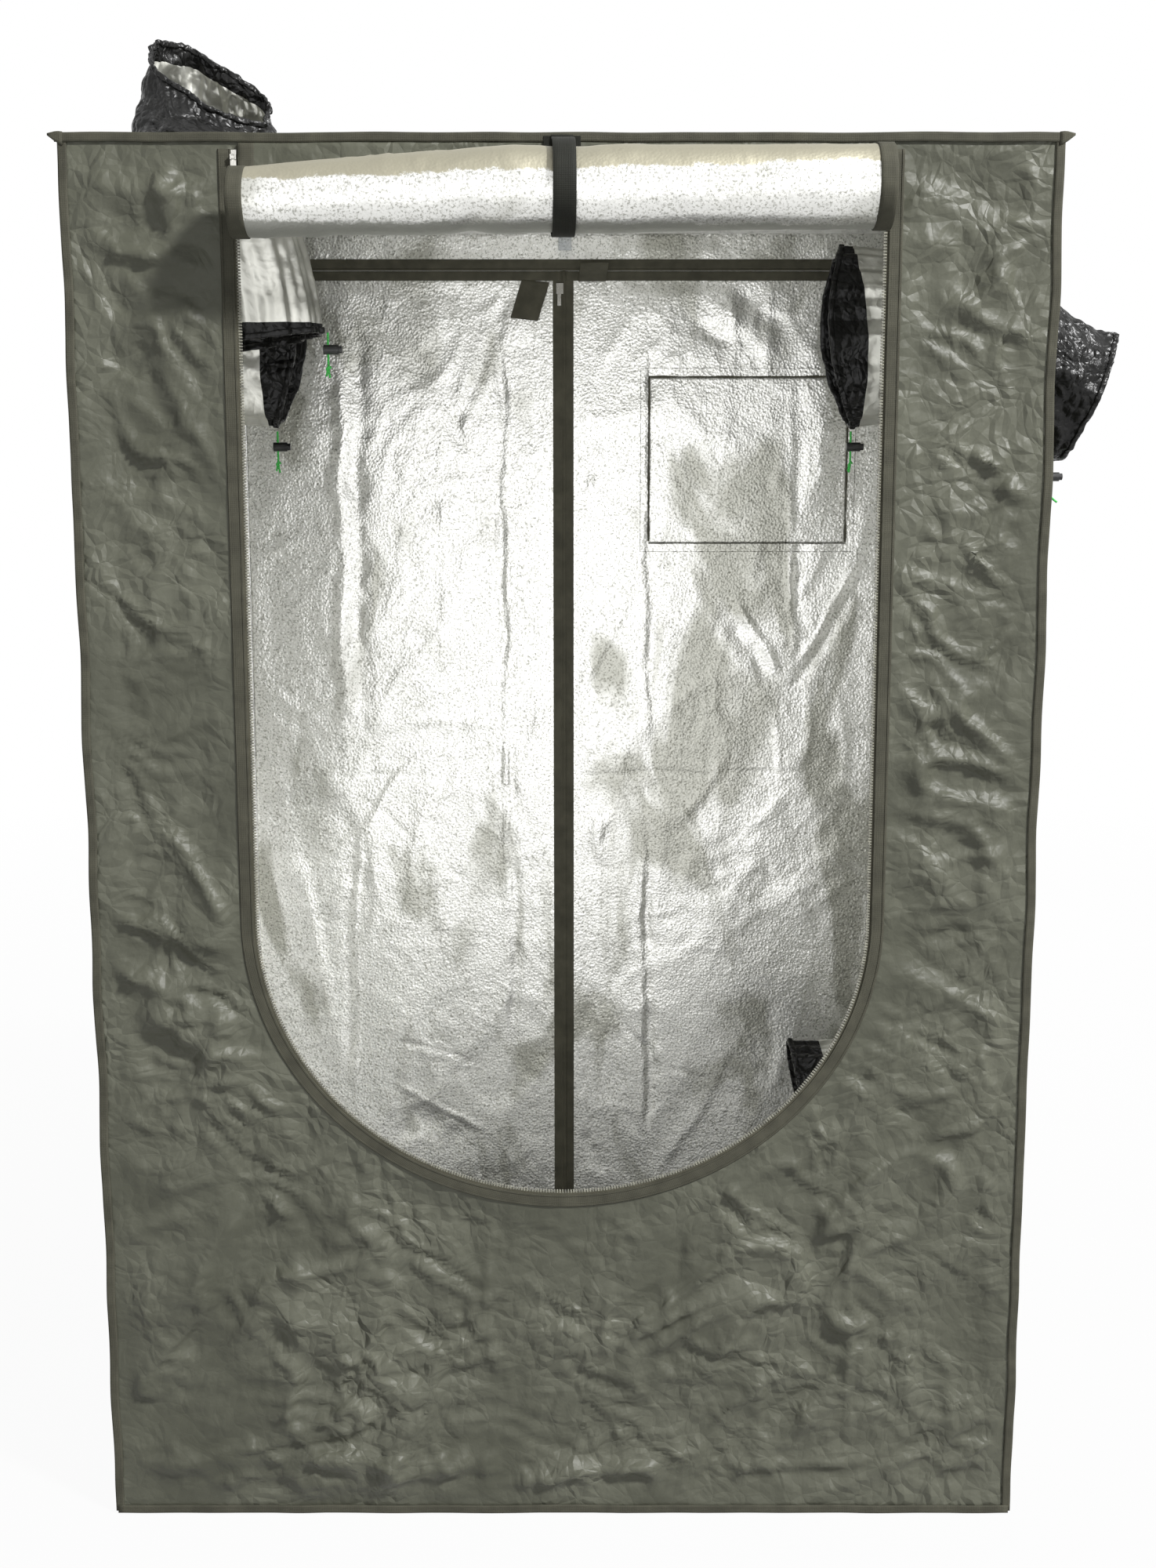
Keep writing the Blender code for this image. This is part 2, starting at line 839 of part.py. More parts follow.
def pull_mesh(name):
    """A long pull tab with an eye round the slider's pin, drawn about the pin's axis."""
    rim = pull_eye_radius + pull_eye_rim
    half_neck = pull_neck_width / 2
    eye = round_bar(rim, (-half_neck, 0, 0), (half_neck, 0, 0), round_sides)
    neck_end = -rim - pull_eye_rim
    neck = box((-half_neck, -pull_thickness / 2, neck_end), (half_neck, pull_thickness / 2, 0))
    tab = box(
        (-pull_width / 2, -pull_thickness / 2, -pull_length),
        (pull_width / 2, pull_thickness / 2, neck_end + pull_eye_rim / 2),
    )
    hole = round_bar(
        pull_eye_radius, (-half_neck - overrun, 0, 0), (half_neck + overrun, 0, 0), round_sides
    )
    return joined(name, eye, [neck, tab], [hole])


def add_front_sliders():
    """A slider at the top of each side of the U, with its pull hanging from it."""
    for side, sign in (("left", -1), ("right", 1)):
        mesh, pin_y = slider_mesh(f"front_slider_{side}", sign)
        place = Vector((sign * zip_mid, cloth_mid, slider_z))
        place_mesh(f"front_slider_{side}", mesh, zip_metal(), place)
        name = f"front_pull_{side}"
        place_mesh(name, pull_mesh(name), zip_metal(), place + Vector((0, pin_y, 0)))


def sleeve_mesh(name, length, shift, tilt, lean, half_wide, half_thin):
    """A sleeve in its own frame: it stands on z = 0 with its mouth up, wide along x.

    It starts as a flange round the port, becomes a fluted oval tube whose mouth shifts along x
    and tilts, and ends in a hem that holds the drawcord.
    """
    count = sleeve_flutes * sleeve_points_per_flute
    hem_share = hem_width / length
    stations = [share * (1 - hem_share) / sleeve_ring_shares[-1] for share in sleeve_ring_shares]
    stations += [1 - hem_share / 2, 1.0]

    def ring(share, inset, swell):
        ease = share * share * (3 - 2 * share)
        wide = port_radius + (half_wide - port_radius) * ease + swell - inset
        thin = port_radius + (half_thin - port_radius) * ease + swell - inset
        turn = Matrix.Rotation(tilt * ease, 3, "Y") @ Matrix.Rotation(lean * ease, 3, "X")
        centre = Vector((shift * ease, 0, cloth + (length - cloth) * share))
        points = []
        for i in range(count):
            angle = math.tau * i / count
            flute = flute_depth * ease * math.cos(sleeve_flutes * angle)
            spread = Vector(
                ((wide + flute) * math.cos(angle), (thin + flute) * math.sin(angle), 0)
            )
            points.append(centre + turn @ spread)
        return points

    flange = port_radius + flange_width
    rings = [circle(flange, 0.0, count), circle(flange, cloth, count)]
    swells = [0.0] * len(sleeve_ring_shares) + [hem_swell, 0.0]
    rings += [ring(share, 0.0, swell) for share, swell in zip(stations, swells)]
    rings += [
        ring(share, sleeve_wall, swell)
        for share, swell in reversed(list(zip(stations, swells)))
    ]
    rings.append(circle(port_radius - sleeve_wall, 0.0, count))
    return to_mesh(name, skin(rings, loop=True), True)


def stand_sleeve(name, mesh, material, seat, out, wide):
    """Sets a sleeve on its port: out points away from the panel and wide along the mouth."""
    out, wide = Vector(out), Vector(wide)
    thin = out.cross(wide)
    turn = Matrix((wide, thin, out)).transposed()
    thing = place_mesh(name, mesh, material, seat)
    thing.rotation_euler = turn.to_euler()


def add_sleeves():
    roof_seat = tent_height + gap
    roof_under = tent_height - cloth - gap
    wall_out = half_width + gap
    wall_in = half_width - cloth - gap
    up, down = (0, 0, 1), (0, 0, -1)
    left, right = (-1, 0, 0), (1, 0, 0)
    outer = sleeve_mesh(
        "roof_sleeve_outer",
        roof_outer_length,
        roof_outer_shift,
        -roof_outer_tilt,
        roof_outer_lean,
        roof_outer_half_wide,
        roof_outer_half_thin,
    )
    stand_sleeve(
        "roof_sleeve_outer", outer, black_cloth(), (roof_port_x, roof_port_y, roof_seat), up, right
    )
    inner = sleeve_mesh(
        "roof_sleeve_inner",
        roof_inner_length,
        roof_inner_shift,
        0.0,
        0.0,
        roof_inner_half_wide,
        roof_inner_half_thin,
    )
    stand_sleeve(
        "roof_sleeve_inner",
        inner,
        silver_cloth(),
        (roof_port_x, roof_port_y, roof_under),
        down,
        right,
    )
    for name, sign, out in (("left_sleeve_inner", -1, right), ("right_sleeve_inner", 1, left)):
        mesh = sleeve_mesh(
            name,
            side_inner_length,
            side_inner_drop,
            0.0,
            0.0,
            side_inner_half_wide,
            side_inner_half_thin,
        )
        seat = (sign * wall_in, side_port_y, side_port_z)
        stand_sleeve(name, mesh, silver_cloth(), seat, out, up)
    mesh = sleeve_mesh(
        "right_sleeve_outer",
        side_outer_length,
        -side_outer_drop,
        -side_outer_tilt,
        0.0,
        side_outer_half_wide,
        side_outer_half_thin,
    )
    seat = (wall_out, side_port_y, side_port_z)
    stand_sleeve("right_sleeve_outer", mesh, black_cloth(), seat, right, up)
    mesh = sleeve_mesh(
        "low_sleeve_inner",
        low_inner_length,
        -low_inner_drop,
        low_inner_tilt,
        0.0,
        low_inner_half_wide,
        low_inner_half_thin,
    )
    seat = (wall_in, side_port_y, low_port_height)
    stand_sleeve("low_sleeve_inner", mesh, silver_cloth(), seat, left, up)


def lock_mesh(name):
    """A barrel lock, drawn about the point where the cord crosses its axis, which is along x."""
    half = lock_length / 2
    middle = half - lock_length * lock_hole_share
    barrel = round_bar(lock_radius, (middle - half, 0, 0), (middle + half, 0, 0), round_sides)
    hole = round_bar(
        cord_radius + cord_hole_room, (0, 0, -overrun), (0, 0, overrun), round_sides
    )
    end = middle + half
    depth = button_length - button_out + button_travel + gap
    socket = round_bar(
        button_radius + gap, (end - depth, 0, 0), (end + overrun, 0, 0), round_sides
    )
    button_x = end + button_out
    return joined(name, barrel, cuts=[hole, socket], smooth=True), button_x


def add_drawcord(name, start):
    """A cord that hangs from a hem, with a lock on it and a spring button in the lock."""
    start = Vector(start)
    length = cord_lead + cord_tail
    straight_share = (cord_lead + lock_radius + lock_travel) / length
    data = bpy.data.curves.new(f"{name}_cord", "CURVE")
    data.dimensions = "3D"
    data.bevel_depth = cord_radius
    data.bevel_resolution = 2
    data.use_fill_caps = True
    data.render_resolution_u = 0
    line = data.splines.new("POLY")
    line.points.add(cord_points - 1)
    for i, point in enumerate(line.points):
        share = i / (cord_points - 1)
        below = max(0.0, share - straight_share) / (1 - straight_share)
        point.co = (start.x + cord_sway * below * below, start.y, start.z - length * share, 1.0)
    thing = bpy.data.objects.new(f"{name}_cord", data)
    data.materials.append(green_cord())
    bpy.context.scene.collection.objects.link(thing)
    centre = start - Vector((0, 0, cord_lead))
    mesh, button_x = lock_mesh(f"{name}_lock")
    place_mesh(f"{name}_lock", mesh, moulded_black(), centre)
    button = round_bar(button_radius, (-button_length, 0, 0), (0, 0, 0), round_sides)
    mesh = to_mesh(f"{name}_button", button, True)
    place_mesh(f"{name}_button", mesh, moulded_black(), centre + Vector((button_x, 0, 0)))


def hem_foot(name):
    """The lowest point of a sleeve."""
    thing = bpy.data.objects[name]
    points = [thing.matrix_world @ vertex.co for vertex in thing.data.vertices]
    return min(points, key=lambda point: point.z)


def add_drawcords():
    """A drawcord under the right edge of the roof sleeve and under the side sleeves' hems."""
    bpy.context.view_layer.update()
    reach = roof_inner_half_wide + flute_depth - sleeve_wall / 2
    mouth = tent_height - cloth - gap - roof_inner_length
    add_drawcord("roof", (roof_port_x + roof_inner_shift + reach, roof_port_y, mouth - gap))
    for name, sleeve in (
        ("left", "left_sleeve_inner"),
        ("right", "right_sleeve_inner"),
        ("outer", "right_sleeve_outer"),
    ):
        foot = hem_foot(sleeve)
        add_drawcord(name, (foot.x, side_port_y, foot.z - gap))


def main():
    clear_scene()
    add_frame()
    add_hanging_bars()
    add_front_panel()
    add_walls()
    add_rear_wall()
    add_rear_doors()
    add_window_flap()
    add_ties()
    add_rear_slider()
    add_door_roll()
    add_roll_strap()
    add_front_sliders()
    add_sleeves()
    add_drawcords()
    print(f"least gap between turns of front_door_roll: {roll_least_gap():.5f} m")


main()
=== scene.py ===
"""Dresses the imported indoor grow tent: cloth, bindings, zips, sleeves, cords and a studio."""

import json
import math

import bmesh
import bpy
import numpy as np
from bpy.props import FloatProperty, PointerProperty, StringProperty
from mathutils import Matrix, Vector


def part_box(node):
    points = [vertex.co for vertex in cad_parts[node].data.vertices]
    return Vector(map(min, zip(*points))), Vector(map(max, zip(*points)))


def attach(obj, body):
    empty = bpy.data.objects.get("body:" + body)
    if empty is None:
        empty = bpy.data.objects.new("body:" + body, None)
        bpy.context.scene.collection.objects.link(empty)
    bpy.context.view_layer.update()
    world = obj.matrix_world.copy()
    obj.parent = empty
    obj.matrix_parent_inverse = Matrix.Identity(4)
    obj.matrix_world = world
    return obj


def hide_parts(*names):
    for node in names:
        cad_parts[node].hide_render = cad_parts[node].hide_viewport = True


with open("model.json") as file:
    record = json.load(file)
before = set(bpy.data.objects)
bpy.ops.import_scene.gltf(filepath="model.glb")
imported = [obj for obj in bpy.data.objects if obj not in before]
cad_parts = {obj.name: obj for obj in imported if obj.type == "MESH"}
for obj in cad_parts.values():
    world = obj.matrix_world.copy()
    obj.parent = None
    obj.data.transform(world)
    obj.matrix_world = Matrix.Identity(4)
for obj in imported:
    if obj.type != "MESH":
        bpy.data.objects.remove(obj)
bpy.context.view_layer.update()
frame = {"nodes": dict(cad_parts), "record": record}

bl_info = {
    "name": "Indoor Grow Tent",
    "version": (1, 0, 0),
    "blender": (4, 5, 0),
    "location": "3D View > Sidebar > Grow Tent",
    "description": "Makes the cloth, zips, sleeves and cords of an indoor grow tent",
    "category": "Object",
}

# Planes and edges that come from the frame, in metres
wall_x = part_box("right_wall")[1].x
wall_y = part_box("rear_wall")[1].y
roof_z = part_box("roof_panel")[1].z
cad_cloth = wall_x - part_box("right_wall")[0].x
rear_face = wall_y - cad_cloth
split_x = (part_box("rear_door_left")[1].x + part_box("rear_door_right")[0].x) / 2
leaf_low, leaf_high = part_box("rear_door_left")
tape_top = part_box("rear_zip_left")[1].z

# Rear doors: their hinges' distance from the middle, the gap round them and the one above them
hinge_x = 0.5
hinge_gap = 0.0003
upper_tape_gap = 0.003

# Centres of the duct ports: on the roof in X and Y, on the side walls in Y and Z
port_radius = 0.100
roof_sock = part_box("roof_sleeve_outer")
roof_port = ((roof_sock[0].x + roof_sock[1].x) / 2, (roof_sock[0].y + roof_sock[1].y) / 2)
side_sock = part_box("left_sleeve_inner")
high_port = ((side_sock[0].y + side_sock[1].y) / 2, roof_z - 0.200)
low_port = (high_port[0], 0.450)

# Front door: a U of half this width, round below, and its sewn line under the top edge
door_half = 0.389
door_top = roof_z - 0.015
round_top = 0.817
round_low = 0.457
zip_mid = door_half + 0.003

# The photograph's pinhole camera: its size, lens, place and tilt
photo_wide, photo_high = 1475, 2000
sensor = 36.0
lens = 39.6
camera_at = Vector((0.02, -2.4545, 1.325))
camera_tilt = math.radians(8.69)
pixels = lens / sensor * photo_high


def spot(px, py, y):
    """The X and Z, on the upright plane at y, of a point of the photograph."""
    rise = (photo_high / 2 - py) / pixels
    cosine, sine = math.cos(camera_tilt), math.sin(camera_tilt)
    far = y - camera_at.y
    up = (rise * far * cosine - far * sine) / (cosine + rise * sine)
    depth = far * cosine - up * sine
    return camera_at.x + (px - photo_wide / 2) * depth / pixels, camera_at.z + up


def linear(code):
    """The linear colour of an sRGB hex value."""
    parts = [int(code[i : i + 2], 16) / 255 for i in (1, 3, 5)]
    return tuple(
        part / 12.92 if part <= 0.04045 else ((part + 0.055) / 1.055) ** 2.4 for part in parts
    ) + (1.0,)


def metres(name, description, default):
    """A length in metres that the panel shows."""
    return FloatProperty(name=name, description=description, default=default, unit="LENGTH")


def hex_colour(name, description, default):
    """A colour that the panel shows."""
    return StringProperty(name=name, description=description, default=default)


class TentCloth(bpy.types.PropertyGroup):
    """Sizes of the cloth."""

    step: metres("Grid", "Spacing of the cloth's points", 0.0056)
    thickness: metres("Cloth", "Thickness of the coated cloth", 0.0008)
    front_depth: metres("Front wrinkles", "Depth of the front wall's wrinkles", 0.0100)
    rear_step: metres("Rear grid", "Spacing of the rear doors' points", 0.0046)
    side_depth: metres("Side wrinkles", "Depth of the side walls' wrinkles", 0.0075)
    rear_depth: metres("Rear wrinkles", "Depth of the rear wall's wrinkles", 0.0050)


class TentTrim(bpy.types.PropertyGroup):
    """Sizes of bindings, zips and webbing."""

    binding: metres("Binding", "Width of the binding tape", 0.0110)
    binding_thick: metres("Binding thickness", "Thickness of the binding", 0.0020)
    door_band: metres("Door band", "Width of the zip's tape round the door", 0.016)
    tooth: metres("Zip tooth", "Spacing of the zip's teeth", 0.0036)
    end_band: metres("Roll's end band", "Width of the binding on the rolled door's edges", 0.020)


class TentColours(bpy.types.PropertyGroup):
    """Colours as sRGB hex values."""

    cloth_dark: hex_colour("Cloth, dark", "Darkest olive of the outer cloth", "#45463B")
    cloth_light: hex_colour("Cloth, light", "Lightest olive of the outer cloth", "#5D5E52")
    trim: hex_colour("Trim", "Binding tape", "#4E4D42")
    film: hex_colour("Film", "Metallised lining", "#F5F5F1")
    film_dark: hex_colour("Film, dark", "Dark specks of the lining", "#A9A9A1")
    black: hex_colour("Black", "Sleeves", "#131312")
    webbing: hex_colour("Webbing", "Webbing of the door's strap", "#1F201A")
    zip_tape: hex_colour("Zip tape", "Tapes of the rear zips and seams", "#5A584B")
    cord: hex_colour("Cord", "Drawcords", "#49D05A")


def add_node(tree, kind, settings=None, **links):
    """Adds a node; a link is another node's output or a value for the input of that name."""
    made = tree.nodes.new("ShaderNode" + kind)
    for key, value in (settings or {}).items():
        setattr(made, key, value)
    for key, value in links.items():
        name = key.replace("_", " ")
        socket = made.inputs[int(key[1:])] if key[1:].isdigit() else made.inputs[name]
        if isinstance(value, bpy.types.NodeSocket):
            tree.links.new(value, socket)
        else:
            socket.default_value = value
    return made


def new_material(name, **sockets):
    """A material and its tree, with plain values set on the shader's own sockets."""
    material = bpy.data.materials.new(name)
    material.use_nodes = True
    tree = material.node_tree
    shader = tree.nodes["Principled BSDF"]
    for key, value in sockets.items():
        shader.inputs[key.replace("_", " ")].default_value = value
    return material, tree, shader


def ramp(tree, source, stops):
    """A colour ramp over a factor, from (place, hex colour) stops."""
    made = add_node(tree, "ValToRGB", Fac=source)
    elements = made.color_ramp.elements
    while len(elements) < len(stops):
        elements.new(0.5)
    for element, (place, code) in zip(elements, stops):
        element.position = place
        element.color = linear(code)
    return made.outputs["Color"]


def tint(tree, shader, factor, *stops):
    """Colours a material by a factor, from (place, hex colour) stops."""
    tree.links.new(ramp(tree, factor, stops), shader.inputs["Base Color"])


def polish(tree, shader, factor, low, high):
    """Lets a material's roughness run from low to high with a factor."""
    rough = add_node(tree, "MapRange", Value=factor, To_Min=low, To_Max=high).outputs["Result"]
    tree.links.new(rough, shader.inputs["Roughness"])


def stack_bumps(tree, shader, layers):
    """Chains bump nodes: each layer is a height, its strength and its depth in metres."""
    normal = None
    for height, strength, distance in layers:
        made = add_node(tree, "Bump", Height=height, Strength=strength, Distance=distance)
        if normal is not None:
            tree.links.new(normal, made.inputs["Normal"])
        normal = made.outputs["Normal"]
    tree.links.new(normal, shader.inputs["Normal"])


def weave_height(tree, thread):
    """The height of a plain weave, from two crossed waves in the cloth's own map in metres."""
    uv = add_node(tree, "UVMap", {"uv_map": "cloth"}).outputs["UV"]
    scale = math.tau / 20 / thread
    waves = [
        add_node(
            tree, "TexWave", {"wave_type": "BANDS", "bands_direction": way}, Vector=uv, Scale=scale
        ).outputs["Fac"]
        for way in ("X", "Y")
    ]
    return add_node(tree, "Math", {"operation": "MULTIPLY"}, i0=waves[0], i1=waves[1]).outputs[0]


def coated_oxford_nylon(name, dark, light, roughness, crinkle, size, ior=1.38):
    """Coated oxford nylon: a tight plain weave under a soft sheen, with creases that catch light.

    Threads are 0.5 mm apart on the real cloth and are drawn 1.2 mm apart, so that they show.
    Size is how wide the creases are, in metres, and crinkle is how strong.
    """
    material, tree, shader = new_material(
        name, Roughness=roughness, IOR=ior, Sheen_Weight=0.05, Sheen_Roughness=0.35
    )
    at = add_node(tree, "TexCoord").outputs["Object"]
    tone = add_node(tree, "TexNoise", Vector=at, Scale=6.0, Detail=5.0, Roughness=0.6)
    tint(tree, shader, tone.outputs["Fac"], (0.30, dark), (0.70, light))
    fine = add_node(
        tree, "TexNoise", Vector=at, Scale=1 / size, Detail=4.0, Roughness=0.52, Distortion=0.3
    )
    bend = add_node(tree, "TexNoise", Vector=at, Scale=0.5 / size, Detail=1.0)
    bent = add_node(
        tree, "VectorMath", {"operation": "MULTIPLY_ADD"}, i0=bend.outputs["Color"],
        i1=(1.6 * size, 1.6 * size, 1.1 * size), i2=at,
    )
    patch = add_node(
        tree, "MapRange", Value=tone.outputs["Fac"], From_Min=0.40, From_Max=0.60, To_Min=0.30
    ).outputs["Result"]
    plates = []
    for scale in (0.8 / size, 2.3 / size):
        creases = add_node(
            tree, "TexVoronoi", {"feature": "DISTANCE_TO_EDGE"}, Vector=bent.outputs[0],
            Scale=scale,
        )
        plates.append(
            add_node(
                tree, "Math", {"operation": "MULTIPLY"}, i0=creases.outputs["Distance"], i1=patch
            ).outputs[0]
        )
    stack_bumps(
        tree,
        shader,
        (
            (fine.outputs["Fac"], crinkle * 0.5, size * 0.22),
            (plates[0], 1.0, size * crinkle * 0.40),
            (plates[1], 1.0, size * crinkle * 0.17),
            (weave_height(tree, 0.0012), 0.12, 0.0002),
        ),
    )
    return material


def embossed_film(name, light, dark, roughness, cell, patch, emboss):
    """Metallised film, embossed with fine cells: bright specks on soft grey, like hammered foil.

    The cells are 1.5 mm on such film and are drawn wider, so that they show. The specks, light and dark
    in its colour, are painted sparkle of the cells. In tall patches it is painted greyer and has fewer
    specks: painted shade, where the film would reflect the dim inside of the tent.
    """
    material, tree, shader = new_material(name, Metallic=0.75, IOR=1.5)
    at = add_node(tree, "TexCoord").outputs["Object"]
    speck = add_node(tree, "TexNoise", Vector=at, Scale=1 / cell, Detail=2.0, Roughness=0.65)
    tall = add_node(tree, "Mapping", Vector=at, Scale=(1.0, 1.0, 0.45)).outputs["Vector"]
    zone = add_node(tree, "TexNoise", Vector=tall, Scale=1 / patch, Detail=5.0, Distortion=0.7)
    # Painted shade: tall patches where the colour is made greyer, for film that reflects the dim inside
    # of the tent
    painted_shade_patch = add_node(
        tree, "MapRange", {"interpolation_type": "SMOOTHSTEP"}, Value=zone.outputs["Fac"],
        From_Min=0.51, From_Max=0.63,
    ).outputs["Result"]
    # Painted sparkle: light and dark specks put into the colour itself
    specks = ramp(tree, speck.outputs["Fac"], ((0.32, dark), (0.50, light)))
    colour = add_node(
        tree, "MixRGB", {"blend_type": "MULTIPLY"}, Fac=painted_shade_patch, Color1=specks,
        Color2=linear("#C4C4BE"),
    ).outputs["Color"]
    tree.links.new(colour, shader.inputs["Base Color"])
    polish(tree, shader, zone.outputs["Fac"], roughness - 0.06, roughness + 0.12)
    cells = add_node(tree, "TexVoronoi", {"feature": "F1"}, Vector=at, Scale=0.8 / cell)
    soft = add_node(tree, "TexNoise", Vector=at, Scale=16.0, Detail=3.0, Distortion=0.6)
    stack_bumps(
        tree,
        shader,
        (
            (soft.outputs["Fac"], 0.30, 0.008),
            (cells.outputs["Distance"], 0.70, emboss),
        ),
    )
    return material


def smooth_foil(name, colour):
    """Plain metallised lining of the sleeves: smoother than the film, with sharp small facets."""
    material, tree, shader = new_material(name, Metallic=0.7)
    at = add_node(tree, "TexCoord").outputs["Object"]
    tone = add_node(tree, "TexNoise", Vector=at, Scale=14.0, Detail=4.0, Distortion=0.6)
    tint(tree, shader, tone.outputs["Fac"], (0.25, "#8E8E86"), (0.6, colour))
    polish(tree, shader, tone.outputs["Fac"], 0.28, 0.44)
    dents = add_node(tree, "TexVoronoi", {"feature": "F1"}, Vector=at, Scale=38.0)
    stack_bumps(
        tree, shader, ((tone.outputs["Fac"], 0.5, 0.010), (dents.outputs["Distance"], 0.4, 0.004))
    )
    return material


def polyester_tape(name, colour, rib, roughness=0.75):
    """Woven polyester tape: matte, with fine ribs across its length."""
    material, tree, shader = new_material(name, Roughness=roughness, IOR=1.3)
    at = add_node(tree, "TexCoord").outputs["Object"]
    tone = add_node(tree, "TexNoise", Vector=at, Scale=45.0, Detail=4.0)
    mixed = add_node(
        tree, "MixRGB", {"blend_type": "MULTIPLY"}, Fac=0.45, Color1=linear(colour),
        Color2=ramp(tree, tone.outputs["Fac"], ((0.3, "#8C8C8C"), (0.7, "#FFFFFF"))),
    )
    tree.links.new(mixed.outputs["Color"], shader.inputs["Base Color"])
    stack_bumps(
        tree, shader, ((tone.outputs["Fac"], 0.3, 0.0012), (weave_height(tree, rib), 0.6, 0.0005))
    )
    return material


def woven_net(name):
    """Black window net of fine yarn, drawn as a close open weave of 2 mm squares."""
    material, tree, shader = new_material(name, Roughness=0.7)
    shader.inputs["Base Color"].default_value = linear("#151514")
    height = weave_height(tree, 0.002)
    stack_bumps(tree, shader, ((height, 0.9, 0.0008),))
    return material


def lacquered_tube(name):
    """White lacquered steel: even gloss with slight orange peel and scuffs."""
    material, tree, shader = new_material(name, IOR=1.5, Coat_Weight=0.4)
    at = add_node(tree, "TexCoord").outputs["Object"]
    scuff = add_node(tree, "TexNoise", Vector=at, Scale=60.0, Detail=6.0, Roughness=0.7)
    tint(tree, shader, scuff.outputs["Fac"], (0.25, "#B5B5AF"), (0.5, "#E6E6E1"))
    polish(tree, shader, scuff.outputs["Fac"], 0.22, 0.42)
    peel = add_node(tree, "TexNoise", Vector=at, Scale=700.0, Detail=1.0)
    stack_bumps(tree, shader, ((peel.outputs["Fac"], 0.15, 0.0003),))
    return material


def moulded_polypropylene(name, colour):
    """Black moulded polypropylene: satin, with a fine spark texture and rubbed edges."""
    material, tree, shader = new_material(name, IOR=1.49)
    at = add_node(tree, "TexCoord").outputs["Object"]
    spark = add_node(tree, "TexNoise", Vector=at, Scale=1500.0, Detail=3.0)
    wear = add_node(tree, "TexNoise", Vector=at, Scale=110.0, Detail=4.0)
    tint(tree, shader, wear.outputs["Fac"], (0.35, colour), (0.8, "#3A3A38"))
    polish(tree, shader, wear.outputs["Fac"], 0.30, 0.52)
    stack_bumps(tree, shader, ((spark.outputs["Fac"], 0.25, 0.0002),))
    return material


def plated_zinc(name):
    """Nickel-plated zinc die casting: bright, with faint polishing lines."""
    material, tree, shader = new_material(name, Metallic=1.0)
    at = add_node(tree, "TexCoord").outputs["Object"]
    lines = add_node(
        tree, "TexNoise",
        Vector=add_node(tree, "Mapping", Vector=at, Scale=(4000, 900, 250)).outputs["Vector"],
        Scale=1.0, Detail=2.0,
    )
    tint(tree, shader, lines.outputs["Fac"], (0.3, "#BDBBB4"), (0.7, "#E8E6E0"))
    polish(tree, shader, lines.outputs["Fac"], 0.14, 0.30)
    stack_bumps(tree, shader, ((lines.outputs["Fac"], 0.1, 0.0002),))
    return material


def braided_polyester(name, colour):
    """Round braided polyester cord: crossed strands, drawn 1.6 mm wide so that they show."""
    material, tree, shader = new_material(name, Roughness=0.6, Sheen_Weight=0.25)
    at = add_node(tree, "TexCoord").outputs["Object"]
    strands = add_node(
        tree, "TexWave", {"wave_type": "BANDS", "bands_direction": "DIAGONAL"}, Vector=at,
        Scale=math.tau / 20 / 0.0016, Distortion=0.4,
    )
    mixed = add_node(
        tree, "MixRGB", {"blend_type": "MULTIPLY"}, Fac=0.6, Color1=linear(colour),
        Color2=ramp(tree, strands.outputs["Fac"], ((0.1, "#A4B4A4"), (0.6, "#FFFFFF"))),
    )
    tree.links.new(mixed.outputs["Color"], shader.inputs["Base Color"])
    stack_bumps(tree, shader, ((strands.outputs["Fac"], 0.6, 0.0006),))
    return material


def clear_polycarbonate(name):
    """Clear moulded polycarbonate, slightly smoky where it is thick."""
    material, tree, shader = new_material(
        name, Roughness=0.08, IOR=1.58, Transmission_Weight=0.85
    )
    at = add_node(tree, "TexCoord").outputs["Object"]
    haze = add_node(tree, "TexNoise", Vector=at, Scale=220.0, Detail=2.0)
    tint(tree, shader, haze.outputs["Fac"], (0.3, "#D9DEE4"), (0.7, "#F4F6F8"))
    stack_bumps(tree, shader, ((haze.outputs["Fac"], 0.2, 0.0004),))
    return material


def finishes():
    """Every material, made on its first use."""
    if finishes.made:
        return finishes.made
    colours = bpy.context.scene.tent_colours
    finishes.made.update(
        olive=coated_oxford_nylon(
            "coated_oxford_nylon", colours.cloth_dark, colours.cloth_light, roughness=0.48,
            crinkle=0.55, size=0.050,
        ),
        # The roof's cloth is more matt, as if dusty, so that it doesn't glare when seen from behind
        roof=coated_oxford_nylon(
            "coated_oxford_nylon_dusty", colours.cloth_dark, colours.cloth_light, roughness=0.85,
            crinkle=0.45, size=0.050, ior=1.25,
        ),
        film=embossed_film(
            "embossed_film", colours.film, colours.film_dark, roughness=0.32, cell=0.0032,
            patch=0.13, emboss=0.0007,
        ),
        roll_film=roll_film("embossed_film_on_roll", colours.film, colours.film_dark),
        foil=smooth_foil("smooth_foil", "#DCDCD4"),
        black=coated_oxford_nylon(
            "black_taffeta", "#0A0A09", colours.black, roughness=0.34, crinkle=0.9, size=0.026,
            ior=1.36,
        ),
        tarpaulin=coated_oxford_nylon(
            "floor_tarpaulin", "#1A1A19", "#2A2A28", roughness=0.5, crinkle=0.5, size=0.06
        ),
        trim=polyester_tape("binding_tape", colours.trim, rib=0.0016),
        webbing=polyester_tape("webbing", colours.webbing, rib=0.0020, roughness=0.65),
        tape=polyester_tape("zip_tape", colours.zip_tape, rib=0.0014, roughness=0.7),
        teeth=moulded_polypropylene("nylon_zip_teeth", "#8F8E80"),
        net=woven_net("window_net"),
        steel=lacquered_tube("lacquered_steel_tube"),
        plastic=moulded_polypropylene("moulded_polypropylene", "#161616"),
        zinc=plated_zinc("plated_zinc"),
        cord=braided_polyester("braided_polyester", colours.cord),
        clear=clear_polycarbonate("clear_polycarbonate"),
    )
    return finishes.made


finishes.made = {}


